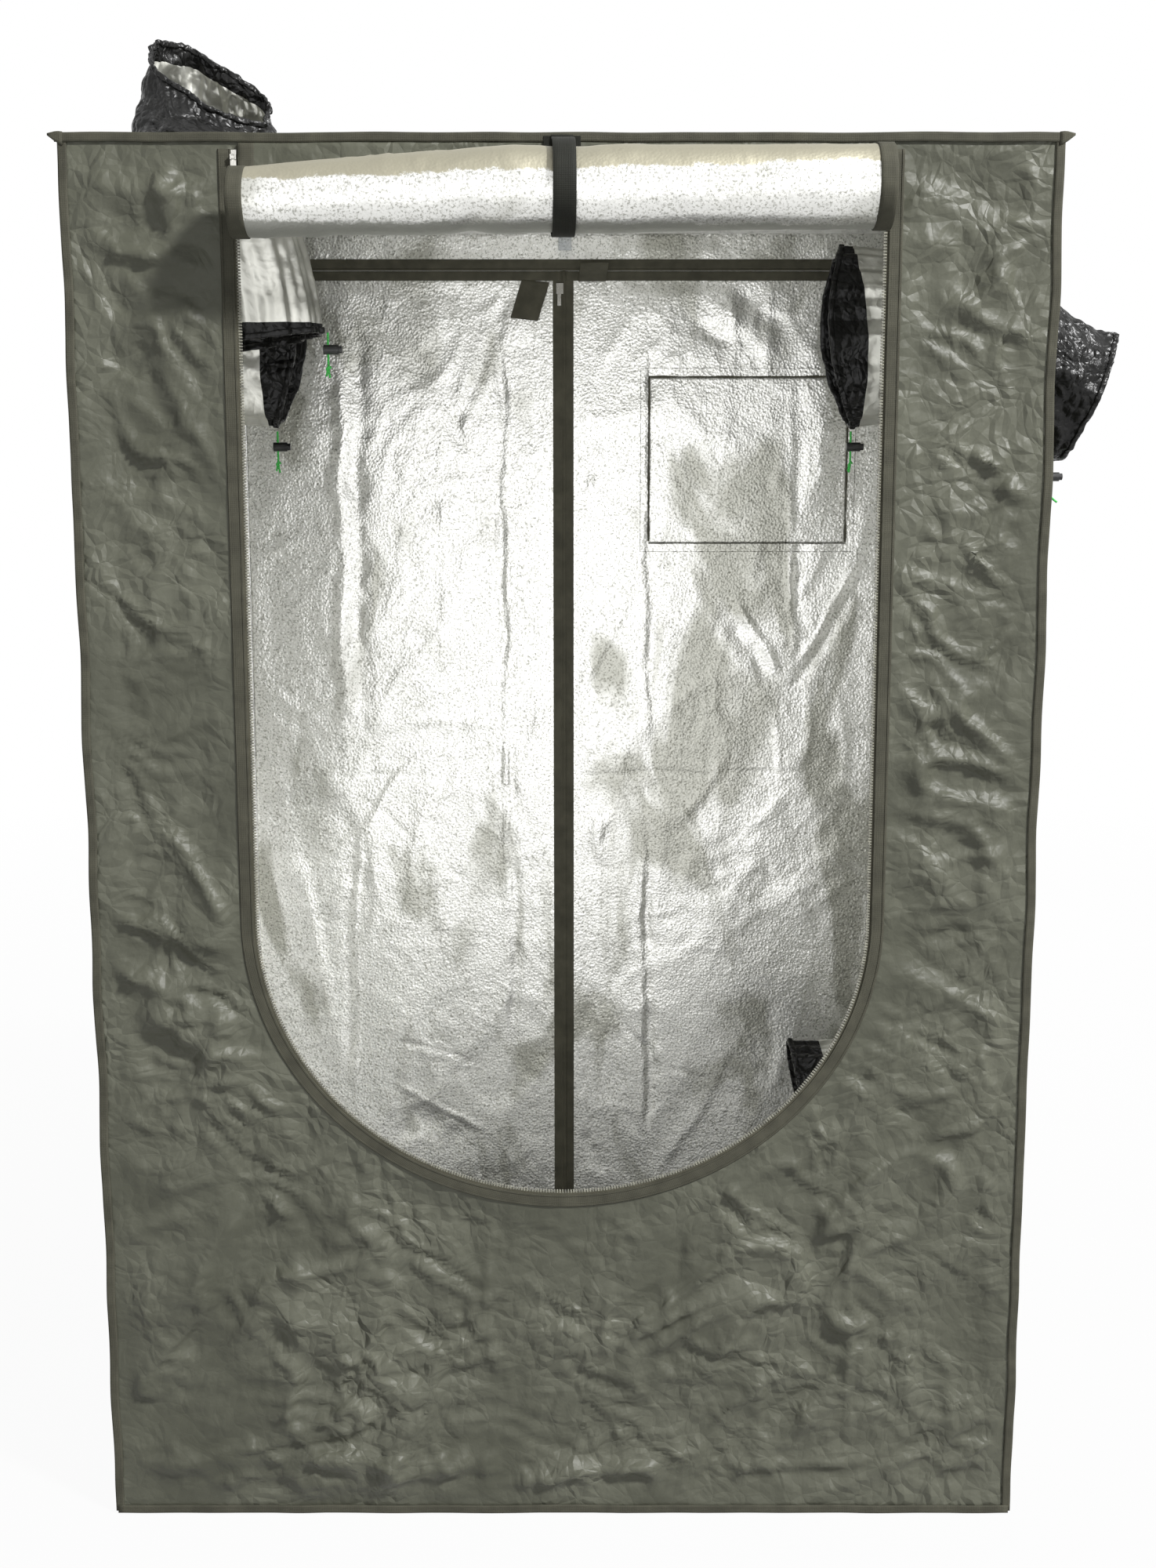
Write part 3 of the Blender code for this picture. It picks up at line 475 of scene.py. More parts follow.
def roll_film(name, light, dark):
    """The same film on the rolled door, with painted reflections: a matte tan band above, a painted
    reflection of a dim ceiling, and a grey band below, a painted reflection of the floor.

    The tan part's lower edge climbs towards the right, as the roll does.
    """
    material = embossed_film(
        name, light, dark, roughness=0.28, cell=0.0030, patch=0.30, emboss=0.0003
    )
    tree = material.node_tree
    shader = tree.nodes["Principled BSDF"]
    at = add_node(tree, "TexCoord").outputs["Object"]
    place = add_node(tree, "SeparateXYZ", Vector=at).outputs
    ragged = add_node(tree, "TexNoise", Vector=at, Scale=26.0, Detail=9.0, Roughness=0.82)
    level = add_node(
        tree, "Math", {"operation": "MULTIPLY_ADD"}, i0=place["X"], i1=-0.030, i2=place["Z"]
    ).outputs[0]
    colour = shader.inputs["Base Color"].links[0].from_socket
    rough = shader.inputs["Roughness"].links[0].from_socket
    # Two painted reflections: the tan band at the top stands for a dim ceiling seen in the film, the
    # grey band at the bottom for the floor; both are made rougher too
    for swing, low, high, code in (
        (0.034, 1.7385, 1.7415, "#A29E8C"), (-0.022, 1.6690, 1.6650, "#A5A69F")
    ):
        lifted = add_node(
            tree, "Math", {"operation": "MULTIPLY_ADD"}, i0=ragged.outputs["Fac"], i1=swing,
            i2=level if swing > 0 else place["Z"],
        ).outputs[0]
        painted_reflection_mask = add_node(
            tree, "MapRange", {"interpolation_type": "SMOOTHSTEP"}, Value=lifted,
            From_Min=low + min(swing, 0) * 0.5, From_Max=high + min(swing, 0) * 0.5,
        ).outputs["Result"]
        colour = add_node(
            tree, "MixRGB", Fac=painted_reflection_mask, Color1=colour, Color2=linear(code)
        ).outputs["Color"]
        flat = add_node(tree, "MapRange", Value=painted_reflection_mask, To_Min=0.0, To_Max=0.22).outputs["Result"]
        rough = add_node(tree, "Math", {"operation": "ADD"}, i0=rough, i1=flat).outputs[0]
    tree.links.new(colour, shader.inputs["Base Color"])
    tree.links.new(rough, shader.inputs["Roughness"])
    return material


def smooth(value, low, high):
    """A soft step from 0 at low to 1 at high."""
    share = np.clip((value - low) / (high - low), 0, 1)
    return share * share * (3 - 2 * share)


def scatter(seed, *cells):
    """A number from 0 to 1 for each cell, the same on every run."""
    value = seed * 0.7317
    for cell, weight in zip(cells, (127.1, 311.7, 74.7)):
        value = value + cell * weight
    value = np.sin(value) * 43758.5453
    return value - np.floor(value)


def grain(u, v, seed):
    """Smooth noise, about -0.7 to 0.7, at many spots that are given in cells of the noise."""
    u, v = np.broadcast_arrays(np.asarray(u, float), v)
    left, low = np.floor(u), np.floor(v)
    across, up = u - left, v - low
    slopes = []
    for i in (0, 1):
        for j in (0, 1):
            angle = math.tau * scatter(seed, left + i, low + j)
            slopes.append((across - i) * np.cos(angle) + (up - j) * np.sin(angle))
    ease_u, ease_v = (part**3 * (part * (part * 6 - 15) + 10) for part in (across, up))
    near = slopes[0] * (1 - ease_v) + slopes[1] * ease_v
    far = slopes[2] * (1 - ease_v) + slopes[3] * ease_v
    return (near * (1 - ease_u) + far * ease_u) * 1.15


def crumples(u, v, seed, size, stretch=1.0, turn=0.0):
    """Crests of crumpled cloth, 0 to 1: sharp, bent and patchy, longer along one direction."""
    cosine, sine = math.cos(turn), math.sin(turn)
    a = (u * cosine + v * sine) / (size * stretch)
    b = (v * cosine - u * sine) / size
    bend_a = grain(a * 0.6, b * 0.6, seed + 7.3)
    bend_b = grain(a * 0.6, b * 0.6, seed + 3.1)
    side = grain(a + bend_a, b + bend_b, seed)
    crest = 1 - np.minimum(1, np.where(side > 0, 4.2 * side, -1.9 * side))
    patch = np.clip(grain(a * 0.33, b * 0.33, seed + 11.7) * 1.8 + 0.55, 0, 1)
    return crest**1.4 * patch


def folds(x, z, table, y):
    """The height of creases that run between two points of the photograph, on the plane at y.

    Each row is two points, a width and a height in millimetres, and whether its crest is sharp.
    """
    total = np.zeros_like(x)
    bent_x = x + 0.011 * grain(x / 0.12, z / 0.12, 2.2) + 0.003 * grain(x / 0.025, z / 0.025, 6.1)
    bent_z = z + 0.011 * grain(x / 0.12, z / 0.12, 4.9) + 0.003 * grain(x / 0.025, z / 0.025, 8.3)
    uneven = 0.60 + 1.5 * np.abs(grain(x / 0.05, z / 0.05, 12.4))
    x, z = bent_x, bent_z
    for ax, ay, bx, by, width, height, sharp in table:
        start, end = np.array(spot(ax, ay, y)), np.array(spot(bx, by, y))
        along = end - start
        length = float(np.hypot(*along))
        share = ((x - start[0]) * along[0] + (z - start[1]) * along[1]) / length**2
        away = ((x - start[0]) * along[1] - (z - start[1]) * along[0]) / length
        near = np.abs(away) / (width / 1000 * uneven)
        ends = smooth(share, -0.02, 0.30) * smooth(1 - share, -0.02, 0.30)
        profile = np.clip(1 - near, 0, 1) ** 1.3 if sharp else np.exp(-(near**2))
        fading = 0.30 + 1.9 * np.abs(grain(share * length / 0.10, ax * 0.37, 17.7))
        total += height / 1000 * profile * ends * np.minimum(fading, 1.25)
    return total


def mesh_piece(name, points, faces, materials, uvs=None, face_materials=None):
    """A piece from points and faces, with its map in metres."""
    mesh = bpy.data.meshes.new(name)
    faces = faces.tolist() if isinstance(faces, np.ndarray) else faces
    mesh.from_pydata(np.asarray(points, float).tolist(), [], faces)
    if uvs is not None:
        layer = mesh.uv_layers.new(name="cloth")
        corners = np.empty(len(mesh.loops), np.int32)
        mesh.loops.foreach_get("vertex_index", corners)
        layer.data.foreach_set("uv", np.asarray(uvs, float)[corners].ravel())
    for material in materials:
        mesh.materials.append(material)
    if face_materials is not None:
        mesh.polygons.foreach_set("material_index", np.asarray(face_materials, np.int32))
    mesh.polygons.foreach_set("use_smooth", [True] * len(mesh.polygons))
    mesh.update()
    thing = bpy.data.objects.new(name, mesh)
    bpy.context.scene.collection.objects.link(thing)
    return thing


def choose(thing):
    """Makes one object the only selected and the active one."""
    bpy.ops.object.select_all(action="DESELECT")
    thing.select_set(True)
    bpy.context.view_layer.objects.active = thing


def apply_all(thing):
    """Applies a piece's modifiers."""
    choose(thing)
    for modifier in list(thing.modifiers):
        bpy.ops.object.modifier_apply(modifier=modifier.name)
    return thing


def thicken(thing, thickness, offset=-1.0, lining=0):
    """Gives cloth its thickness; the lining's material goes on the new side."""
    solid = thing.modifiers.new("thickness", "SOLIDIFY")
    solid.thickness = thickness
    solid.offset = offset
    solid.material_offset = lining
    return apply_all(thing)


def grid_faces(index):
    """Four-cornered faces between the points of a grid, from its table of point numbers."""
    corners = (index[:-1, :-1], index[:-1, 1:], index[1:, 1:], index[1:, :-1])
    return np.stack(corners, axis=-1).reshape(-1, 4)


def cloth_grid(name, across, up, step, place, materials, holes=(), flip=False):
    """A fine grid of cloth with holes; place(u, v) gives its points, and u and v are its map.

    The grid's points along a hole's rim are moved onto the rim's true line.
    """
    columns = max(2, round((across[1] - across[0]) / step))
    rows = max(2, round((up[1] - up[0]) / step))
    u, v = np.meshgrid(np.linspace(*across, columns + 1), np.linspace(*up, rows + 1))
    u, v = u.ravel(), v.ravel()
    quads = grid_faces(np.arange(u.size).reshape(rows + 1, columns + 1))
    for inside, nearest in holes:
        gone = inside(u[quads].mean(axis=1), v[quads].mean(axis=1))
        rim = np.intersect1d(quads[gone], quads[~gone])
        u[rim], v[rim] = nearest(u[rim], v[rim])
        quads = quads[~gone]
    used, quads = np.unique(quads, return_inverse=True)
    quads = quads.reshape(-1, 4)
    if flip:
        quads = quads[:, ::-1]
    u, v = u[used], v[used]
    points = np.stack(place(u, v), axis=-1)
    return mesh_piece(name, points, quads, materials, uvs=np.stack([u, v], axis=-1))


def round_hole(centre_u, centre_v, radius):
    """A round hole for cloth_grid."""

    def inside(u, v):
        return np.hypot(u - centre_u, v - centre_v) < radius

    def nearest(u, v):
        away = np.maximum(1e-6, np.hypot(u - centre_u, v - centre_v))
        return (
            centre_u + (u - centre_u) * radius / away,
            centre_v + (v - centre_v) * radius / away,
        )

    return inside, nearest


def box_hole(low_u, high_u, low_v, high_v):
    """A square-cornered hole for cloth_grid."""

    def inside(u, v):
        return (u > low_u) & (u < high_u) & (v > low_v) & (v < high_v)

    def nearest(u, v):
        sides = np.stack([abs(u - low_u), abs(u - high_u), abs(v - low_v), abs(v - high_v)])
        side = sides.argmin(axis=0)
        new_u = np.where(side == 0, low_u, np.where(side == 1, high_u, u))
        new_v = np.where(side == 2, low_v, np.where(side == 3, high_v, v))
        return np.clip(new_u, low_u, high_u), np.clip(new_v, low_v, high_v)

    return inside, nearest


def door_hole(half):
    """The U of the front door for cloth_grid."""
    drop = round_top - round_low + (half - door_half)

    def inside(x, z):
        oval = (x / half) ** 2 + ((z - round_top) / drop) ** 2 < 1
        return (z < door_top) & (np.abs(x) < half) & ((z > round_top) | oval)

    def nearest(x, z):
        angle = np.arctan2((z - round_top) / drop, x / half)
        low = z < round_top
        top = (z > door_top - 0.006) & (np.abs(x) < half - 0.004)
        new_x = np.where(low, half * np.cos(angle), np.where(top, x, np.sign(x) * half))
        new_z = np.where(low, round_top + drop * np.sin(angle), np.where(top, door_top, z))
        return new_x, new_z

    return inside, nearest


def door_line(half, top, step=0.004):
    """Points at even steps along the U, from its left top down and round to its right top."""
    drop = round_top - round_low + (half - door_half)
    outline = [(-half, top), (-half, round_top)]
    turns = 200
    for i in range(1, turns):
        angle = math.pi + math.pi * i / turns
        outline.append((half * math.cos(angle), round_top + drop * math.sin(angle)))
    outline += [(half, round_top), (half, top)]
    outline = np.array(outline)
    lengths = np.hypot(*np.diff(outline, axis=0).T)
    reach = np.concatenate([[0], np.cumsum(lengths)])
    count = int(reach[-1] / step)
    places = np.linspace(0, reach[-1], count + 1)
    return np.interp(places, reach, outline[:, 0]), np.interp(places, reach, outline[:, 1])


def sweep(name, path, sides, ups, half_width, half_thick, materials, closed=False, crown=1.0):
    """A flat band with rounded edges along a path, with its length and width as its map.

    Its side and up vectors are given point by point, or once for all of them.
    """
    path = np.asarray(path, float)
    sides, ups = (np.broadcast_to(np.asarray(part, float), path.shape) for part in (sides, ups))
    count = len(path)
    half_width = np.broadcast_to(half_width, count)
    profile = (
        (-1.0, -0.4), (-0.94, -1.0), (-0.5, -crown), (0.0, -crown), (0.5, -crown), (0.94, -1.0),
        (1.0, -0.4), (1.0, 0.4), (0.94, 1.0), (0.5, crown), (0.0, crown), (-0.5, crown),
        (-0.94, 1.0), (-1.0, 0.4),
    )
    ring = len(profile)
    steps = np.linalg.norm(np.diff(path, axis=0), axis=1)
    reach = np.concatenate([[0], np.cumsum(steps)])
    points, uvs = [], []
    for i in range(count):
        for across, lift in profile:
            points.append(
                path[i] + sides[i] * half_width[i] * across + ups[i] * half_thick * lift
            )
            uvs.append((reach[i], across * half_width[i]))
    faces = []
    last = count if closed else count - 1
    for i in range(last):
        k = (i + 1) % count
        for j in range(ring):
            n = (j + 1) % ring
            faces.append((i * ring + j, k * ring + j, k * ring + n, i * ring + n))
    if not closed:
        faces.append(tuple(range(ring)))
        faces.append(tuple(reversed([last * ring + j for j in range(ring)])))
    thing = mesh_piece(name, points, faces, materials, uvs=uvs)
    return outward(thing)


def unit(vectors):
    """Vectors of length 1 that point the same ways."""
    return vectors / np.linalg.norm(vectors, axis=1)[:, None]


def directions(path):
    """The unit direction of a path at each of its points."""
    return unit(np.gradient(path, axis=0))


def outward(thing):
    """Turns a closed piece's faces outwards."""
    bm = bmesh.new()
    bm.from_mesh(thing.data)
    bmesh.ops.recalc_face_normals(bm, faces=bm.faces)
    bm.to_mesh(thing.data)
    bm.free()
    return thing


def merge(name, pieces):
    """Joins pieces into one, under one name."""
    bpy.ops.object.select_all(action="DESELECT")
    for piece in pieces:
        piece.select_set(True)
    bpy.context.view_layer.objects.active = pieces[0]
    bpy.ops.object.join()
    thing = bpy.context.view_layer.objects.active
    thing.name = name
    thing.data.name = name
    return thing


def copies(name, pattern, frames, materials):
    """One small mesh, repeated at many frames (place, and three axes) in a single piece."""
    base = np.array([vertex.co for vertex in pattern.data.vertices])
    base_faces = [tuple(face.vertices) for face in pattern.data.polygons]
    points, faces = [], []
    for place, axes in frames:
        first = len(points)
        points.extend(place + base @ axes)
        faces.extend(tuple(first + i for i in face) for face in base_faces)
    bpy.data.objects.remove(pattern)
    thing = mesh_piece(name, points, faces, materials)
    thing.data.polygons.foreach_set("use_smooth", [False] * len(thing.data.polygons))
    return thing


def rounded_block(size, round_by, segments=1):
    """A small block with bevelled edges, about the origin, as a pattern or a part."""
    bpy.ops.object.select_all(action="DESELECT")
    bpy.ops.mesh.primitive_cube_add(size=1.0)
    thing = bpy.context.active_object
    thing.scale = size
    bpy.ops.object.transform_apply(scale=True)
    bpy.ops.object.mode_set(mode="EDIT")
    bpy.ops.mesh.select_all(action="SELECT")
    bpy.ops.mesh.bevel(offset=round_by, segments=segments, affect="EDGES")
    bpy.ops.object.mode_set(mode="OBJECT")
    return thing


def move_mesh(thing, matrix):
    """Puts a piece's mesh at its place, so that its object stays at the origin."""
    thing.data.transform(matrix)
    thing.data.update()
    return thing


# Creases of the front wall: two points of the photograph, width and height in mm, sharp or not
front_folds = (
    (207, 222, 222, 312, 12, 6.0, False),
    (105, 312, 200, 295, 8, 5.0, True),
    (110, 324, 205, 334, 11, 5.5, True),
    (215, 420, 252, 434, 6, 4.5, True),
    (110, 621, 178, 620, 6, 4.5, True),
    (135, 617, 226, 588, 7, 5.0, True),
    (155, 572, 285, 590, 9, 4.0, False),
    (245, 552, 272, 498, 7, 3.5, True),
    (135, 966, 250, 960, 7, 5.5, True),
    (196, 952, 258, 922, 7, 4.5, True),
    (210, 1052, 294, 1184, 15, 9.0, True),
    (108, 1112, 318, 1106, 4, 2.6, True),
    (128, 1224, 182, 1262, 9, 7.0, True),
    (178, 1258, 256, 1282, 9, 6.0, True),
    (158, 1276, 338, 1368, 22, 8.0, False),
    (258, 1268, 338, 1318, 12, 5.0, False),
    (130, 1414, 188, 1436, 9, 6.0, True),
    (134, 1448, 162, 1484, 9, 5.0, True),
    (1237, 577, 1281, 602, 8, 5.5, True),
    (1266, 612, 1338, 642, 13, 7.0, True),
    (1222, 680, 1281, 747, 7, 5.5, True),
    (1156, 708, 1214, 722, 10, 6.0, True),
    (1137, 572, 1178, 586, 6, 3.5, True),
    (1288, 548, 1338, 570, 8, 4.5, True),
    (1245, 846, 1305, 798, 12, 6.5, True),
    (1128, 772, 1166, 738, 8, 4.0, True),
    (1130, 722, 1202, 752, 8, 4.0, True),
    (1302, 930, 1338, 830, 10, 5.5, True),
    (1118, 1102, 1322, 1094, 10, 4.5, True),
    (1118, 1142, 1314, 1168, 4, 2.6, True),
    (1198, 1272, 1312, 1170, 10, 6.5, True),
    (1170, 1204, 1284, 1162, 22, -6.0, False),
    (1094, 1382, 1172, 1313, 9, 6.0, True),
    (1213, 1367, 1292, 1323, 10, 6.0, False),
    (1138, 1302, 1252, 1258, 9, 5.0, True),
    (1233, 1452, 1282, 1398, 9, 5.5, True),
    (165, 1872, 420, 1852, 17, 17.0, False),
    (360, 1858, 670, 1872, 18, 15.0, False),
    (620, 1902, 900, 1852, 14, 13.0, False),
    (866, 1918, 965, 1822, 10, -9.0, False),
    (945, 1838, 1090, 1742, 11, -7.0, False),
    (905, 1905, 1135, 1732, 20, 7.0, False),
    (250, 1648, 248, 1744, 6, -7.0, True),
    (256, 1638, 352, 1708, 16, 8.0, False),
    (155, 1790, 245, 1718, 18, 9.0, False),
    (376, 1560, 380, 1800, 14, 4.0, False),
    (620, 1540, 632, 1800, 10, 4.5, True),
    (867, 1530, 872, 1800, 10, -5.0, False),
    (1083, 1520, 1083, 1850, 9, 4.5, True),
    (1215, 1862, 1286, 1826, 12, 9.0, True),
    (548, 1543, 640, 1552, 10, 5.5, True),
    (643, 1541, 755, 1532, 10, 5.0, True),
    (1028, 1690, 1152, 1708, 14, 6.5, False),
    (1242, 1675, 1285, 1625, 12, 6.5, True),
    (340, 1515, 372, 1560, 10, 5.0, True),
)

# Creases of the rear wall and its doors, as seen through the door
rear_folds = (
    (434, 364, 440, 1000, 12, 3.4, False),
    (458, 364, 462, 1000, 13, -4.2, False),
    (455, 1010, 458, 1440, 7, 3.2, True),
    (445, 1010, 447, 1440, 12, -2.4, False),
    (456, 368, 560, 500, 26, -4.0, False),
    (560, 470, 596, 590, 16, -4.0, False),
    (565, 450, 567, 900, 4, 1.4, True),
    (637, 364, 640, 900, 9, -3.2, False),
    (646, 364, 648, 1420, 6, 3.4, True),
    (655, 900, 657, 1420, 8, -2.4, False),
    (455, 1007, 536, 1077, 5, -2.6, True),
    (536, 1077, 600, 1130, 5, -2.0, True),
    (370, 985, 650, 992, 5, -1.8, True),
    (650, 990, 1100, 982, 5, -1.8, True),
    (493, 1323, 616, 1355, 5, -2.6, True),
    (482, 1366, 643, 1457, 9, 3.6, True),
    (643, 1457, 672, 1511, 9, 3.0, True),
    (500, 1410, 620, 1470, 30, -5.0, False),
    (772, 1270, 841, 1361, 5, -2.6, True),
    (841, 1361, 911, 1382, 5, -2.2, True),
    (824, 360, 822, 985, 8, 3.0, True),
    (832, 360, 830, 985, 10, -3.0, False),
    (817, 1000, 819, 1480, 6, 3.4, True),
    (826, 1000, 828, 1480, 10, -3.2, False),
    (991, 900, 993, 990, 8, 3.6, True),
    (848, 383, 949, 457, 16, -4.6, False),
    (937, 364, 1019, 434, 18, -4.4, False),
    (900, 372, 1000, 470, 20, 4.0, False),
    (1011, 460, 1008, 900, 9, 3.2, True),
    (1020, 460, 1016, 900, 12, -2.4, False),
    (930, 753, 996, 866, 11, 5.0, True),
    (918, 770, 984, 880, 12, -4.4, False),
    (1105, 698, 1000, 870, 8, 4.4, True),
    (1110, 715, 1008, 886, 10, -2.6, False),
    (940, 560, 975, 660, 40, -4.5, False),
    (600, 620, 520, 720, 26, 2.5, False),
    (745, 640, 760, 560, 8, 3.0, True),
    (700, 1040, 704, 1120, 10, -3.4, False),
    (760, 1020, 764, 1110, 12, 3.0, False),
    (900, 1060, 1010, 1160, 40, -4.0, False),
    (1000, 1180, 1080, 1060, 26, 3.0, False),
    (740, 1440, 768, 1500, 10, -3.4, False),
    (735, 305, 640, 330, 8, 2.6, True),
    (735, 305, 700, 330, 6, 2.2, True),
    (735, 305, 800, 328, 8, 2.6, True),
    (735, 305, 860, 324, 9, 2.2, True),
)


def front_height(x, z):
    """How far the front wall's cloth stands out from its flat plane."""
    depth = bpy.context.scene.tent_cloth.front_depth
    big = crumples(x, z, 4.1, 0.200, 1.6, math.radians(-28)) - 0.3
    falling = crumples(x, z, 9.7, 0.085, 1.9, math.radians(-32)) - 0.2
    rising = crumples(x, z, 12.9, 0.080, 1.8, math.radians(34)) - 0.2
    high = smooth(z, 0.45, 0.80)
    middle = high * falling + (1 - high) * rising
    small = crumples(x, z, 15.2, 0.040, 1.6, math.radians(-36)) - 0.2
    tiny = crumples(x, z, 23.9, 0.022, 1.3, math.radians(15)) - 0.2
    belly = grain(x * 2.6, z * 2.6, 31.0)
    total = depth * (1.0 * big + 1.15 * middle + 0.72 * small + 0.28 * tiny + 0.8 * belly)
    total += 1.35 * folds(x, z, front_folds, -wall_y)
    drop = round_top - round_low
    below = np.maximum(0, round_top - z)
    to_door = np.where(
        z > round_top,
        np.abs(x) - door_half,
        (np.hypot(x / door_half, below / drop) - 1) * np.minimum(door_half, drop),
    )
    calm = smooth(to_door, 0.016, 0.065) * smooth(wall_x - np.abs(x), 0.012, 0.055)
    calm *= smooth(z, 0.012, 0.050) * smooth(roof_z - z, 0.014, 0.060)
    inward = 0.0018 + 0.010 * smooth(wall_x - np.abs(x), 0.030, 0.070) * smooth(z, 0.030, 0.070)
    return np.maximum(total * calm, -inward * smooth(roof_z - z, 0.010, 0.080) - 0.0004)


def rear_height(x, z):
    """How far the rear wall's lining stands towards the front from its flat plane."""
    depth = bpy.context.scene.tent_cloth.rear_depth
    big = crumples(x, z, 51.0, 0.240, 1.5, math.radians(80)) - 0.3
    middle = crumples(x, z, 57.5, 0.095, 1.7, math.radians(60)) - 0.2
    small = crumples(x, z, 63.3, 0.040, 1.4, math.radians(-70)) - 0.2
    belly = grain(x * 4.2, z * 1.4, 71.0)
    total = depth * (0.55 * big + 0.40 * middle + 0.16 * small + 1.1 * belly)
    total += folds(x, z, rear_folds, rear_face)
    calm = smooth(np.abs(x - split_x), 0.015, 0.040) * smooth(wall_x - np.abs(x), 0.016, 0.060)
    calm *= smooth(z, 0.026, 0.060)
    # The film lies flat behind the two tie tabs
    calm *= 1 - smooth(0.096 - np.abs(x), 0, 0.024) * smooth(z, 1.585, 1.625)
    high = smooth(np.abs(z - tape_top + 0.001), 0.016, 0.036) * smooth(roof_z - z, 0.026, 0.050)
    near_hinge = smooth(np.abs(np.abs(x) - hinge_x), 0.004, 0.040)
    low = smooth(np.abs(z - leaf_low.z), 0.004, 0.030)
    return np.clip(total * calm * high * near_hinge * low, -0.007, 0.0085)


def side_height(y, z, seed, ports):
    """How far a side wall or the roof bulges out; it is calm round each port and at its edges."""
    depth = bpy.context.scene.tent_cloth.side_depth
    big = crumples(y, z, seed, 0.190, 1.5, math.radians(-60)) - 0.25
    middle = crumples(y, z, seed + 5.0, 0.080, 1.8, math.radians(40)) - 0.2
    small = crumples(y, z, seed + 9.0, 0.036, 1.5, math.radians(-25)) - 0.2
    belly = grain(y * 3.0, z * 2.0, seed + 13.0)
    total = depth * (0.8 * big + 0.6 * middle + 0.3 * small + 0.9 * belly)
    for port_u, port_v in ports:
        total *= smooth(np.hypot(y - port_u, z - port_v), 0.112, 0.165)
    return total


def sew_on(thing, body, slot, *nodes):
    """Says what a piece replaces and moves with; its slot is not used."""
    if nodes:
        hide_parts(*nodes)
    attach(thing, body)


def finish_sheet(thing, body, nodes, slot=None):
    """Says what a sheet of cloth replaces and moves with; its slot, the cloth it is cut from, is not
    used.
    """
    sew_on(thing, body, slot, *nodes)


class TENT_OT_camera(bpy.types.Operator):
    """Sets the camera that took the photograph"""

    bl_idname = "tent.camera"
    bl_label = "Camera"

    def execute(self, context):
        data = bpy.data.cameras.new("camera")
        data.sensor_width = sensor
        data.lens = lens
        data.clip_start = 0.05
        data.clip_end = 60.0
        camera = bpy.data.objects.new("camera", data)
        context.scene.collection.objects.link(camera)
        camera.location = camera_at
        camera.rotation_euler = (math.pi / 2 - camera_tilt, 0, 0)
        context.scene.camera = camera
        return {"FINISHED"}


def cord_curve(name, points, radius, resolution):
    """A round cord through points, as a curve with closed ends."""
    data = bpy.data.curves.new(name, "CURVE")
    data.dimensions = "3D"
    data.bevel_depth = radius
    data.bevel_resolution = resolution
    data.use_fill_caps = True
    line = data.splines.new("POLY")
    line.points.add(len(points) - 1)
    for point, co in zip(line.points, points):
        point.co = (*co, 1)
    thing = bpy.data.objects.new(name, data)
    bpy.context.scene.collection.objects.link(thing)
    data.materials.append(finishes()["cord"])
    return thing


# How far each drawcord's end swings out below its lock's reach, in metres
cord_swing = {"roof": 0.0022, "left": 0.0026, "right": -0.0016, "outer": 0.0110}


class TENT_OT_cords(bpy.types.Operator):
    """Hangs the four drawcords, each with a knot and a second tail below its lock"""

    bl_idname = "tent.cords"
    bl_label = "Drawcords"

    def execute(self, context):
        radius = 0.0015
        count = 24
        for name, curl in cord_swing.items():
            low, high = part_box(f"{name}_cord")
            lock_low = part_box(f"{name}_lock")[0]
            x, y = low.x + radius, (low.y + high.y) / 2
            straight = lock_low.z - 0.0135
            points = []
            for i in range(count):
                z = high.z + (low.z - high.z) * i / (count - 1)
                swing = curl * min(1.0, max(0.0, (straight - z) / (straight - low.z))) ** 2
                points.append((x + swing, y - 0.6 * swing, z))
            cord = cord_curve(f"{name}_drawcord", points, radius, 4)
            knot = self.knot(name, Vector(points[count - 6]), radius)
            sew_on(cord, "tent", "green_cord", f"{name}_cord")
            sew_on(knot, "tent", "green_cord")
        return {"FINISHED"}

    def knot(self, name, at, radius):
        """A knot drawn as one tight loop that climbs and dips, and its cut second tail."""
        loop = []
        for i in range(49):
            angle = math.tau * i / 48
            wide = (2 + math.cos(1.5 * angle)) * 0.62
            turn = (wide * math.cos(angle), wide * math.sin(angle) * 0.9, 1.5 * math.sin(1.5 * angle))
            loop.append(at + radius * Vector(turn))
        tail = [at + radius * Vector((-0.6 - 0.22 * i, 0.4, -1.2 * i)) for i in range(7)]
        made = []
        for label, run in (("loop", loop), ("tail", tail)):
            choose(cord_curve(f"{name}_{label}", run, radius * 0.92, 3))
            bpy.ops.object.convert(target="MESH")
            made.append(bpy.context.active_object)
        knot = merge(f"{name}_knot", made)
        knot.data.polygons.foreach_set("use_smooth", [True] * len(knot.data.polygons))
        return knot


class TENT_OT_front_wall(bpy.types.Operator):
    """Makes the wrinkled front wall with its U-shaped door opening"""

    bl_idname = "tent.front_wall"
    bl_label = "Front wall"

    def execute(self, context):
        sizes = context.scene.tent_cloth
        cloth = finishes()

        def place(x, z):
            return x, -wall_y - front_height(x, z), z

        wall = cloth_grid(
            "front_wall", (-wall_x, wall_x), (0.0, roof_z), sizes.step, place,
            [cloth["olive"], cloth["film"]], [door_hole(zip_mid + 0.004)],
        )
        thicken(wall, sizes.thickness, lining=1)
        finish_sheet(
            wall, "tent", ["front_panel"],
            "olive_cloth",
        )
        return {"FINISHED"}

    def door_area(self, half):
        """The area of the door's U."""
        drop = round_top - round_low
        return 2 * half * (door_top - round_top) + math.pi * half * drop / 2


# The roof's cloth dips no further than this, so that it clears the hanging bars
roof_dip = 0.0012


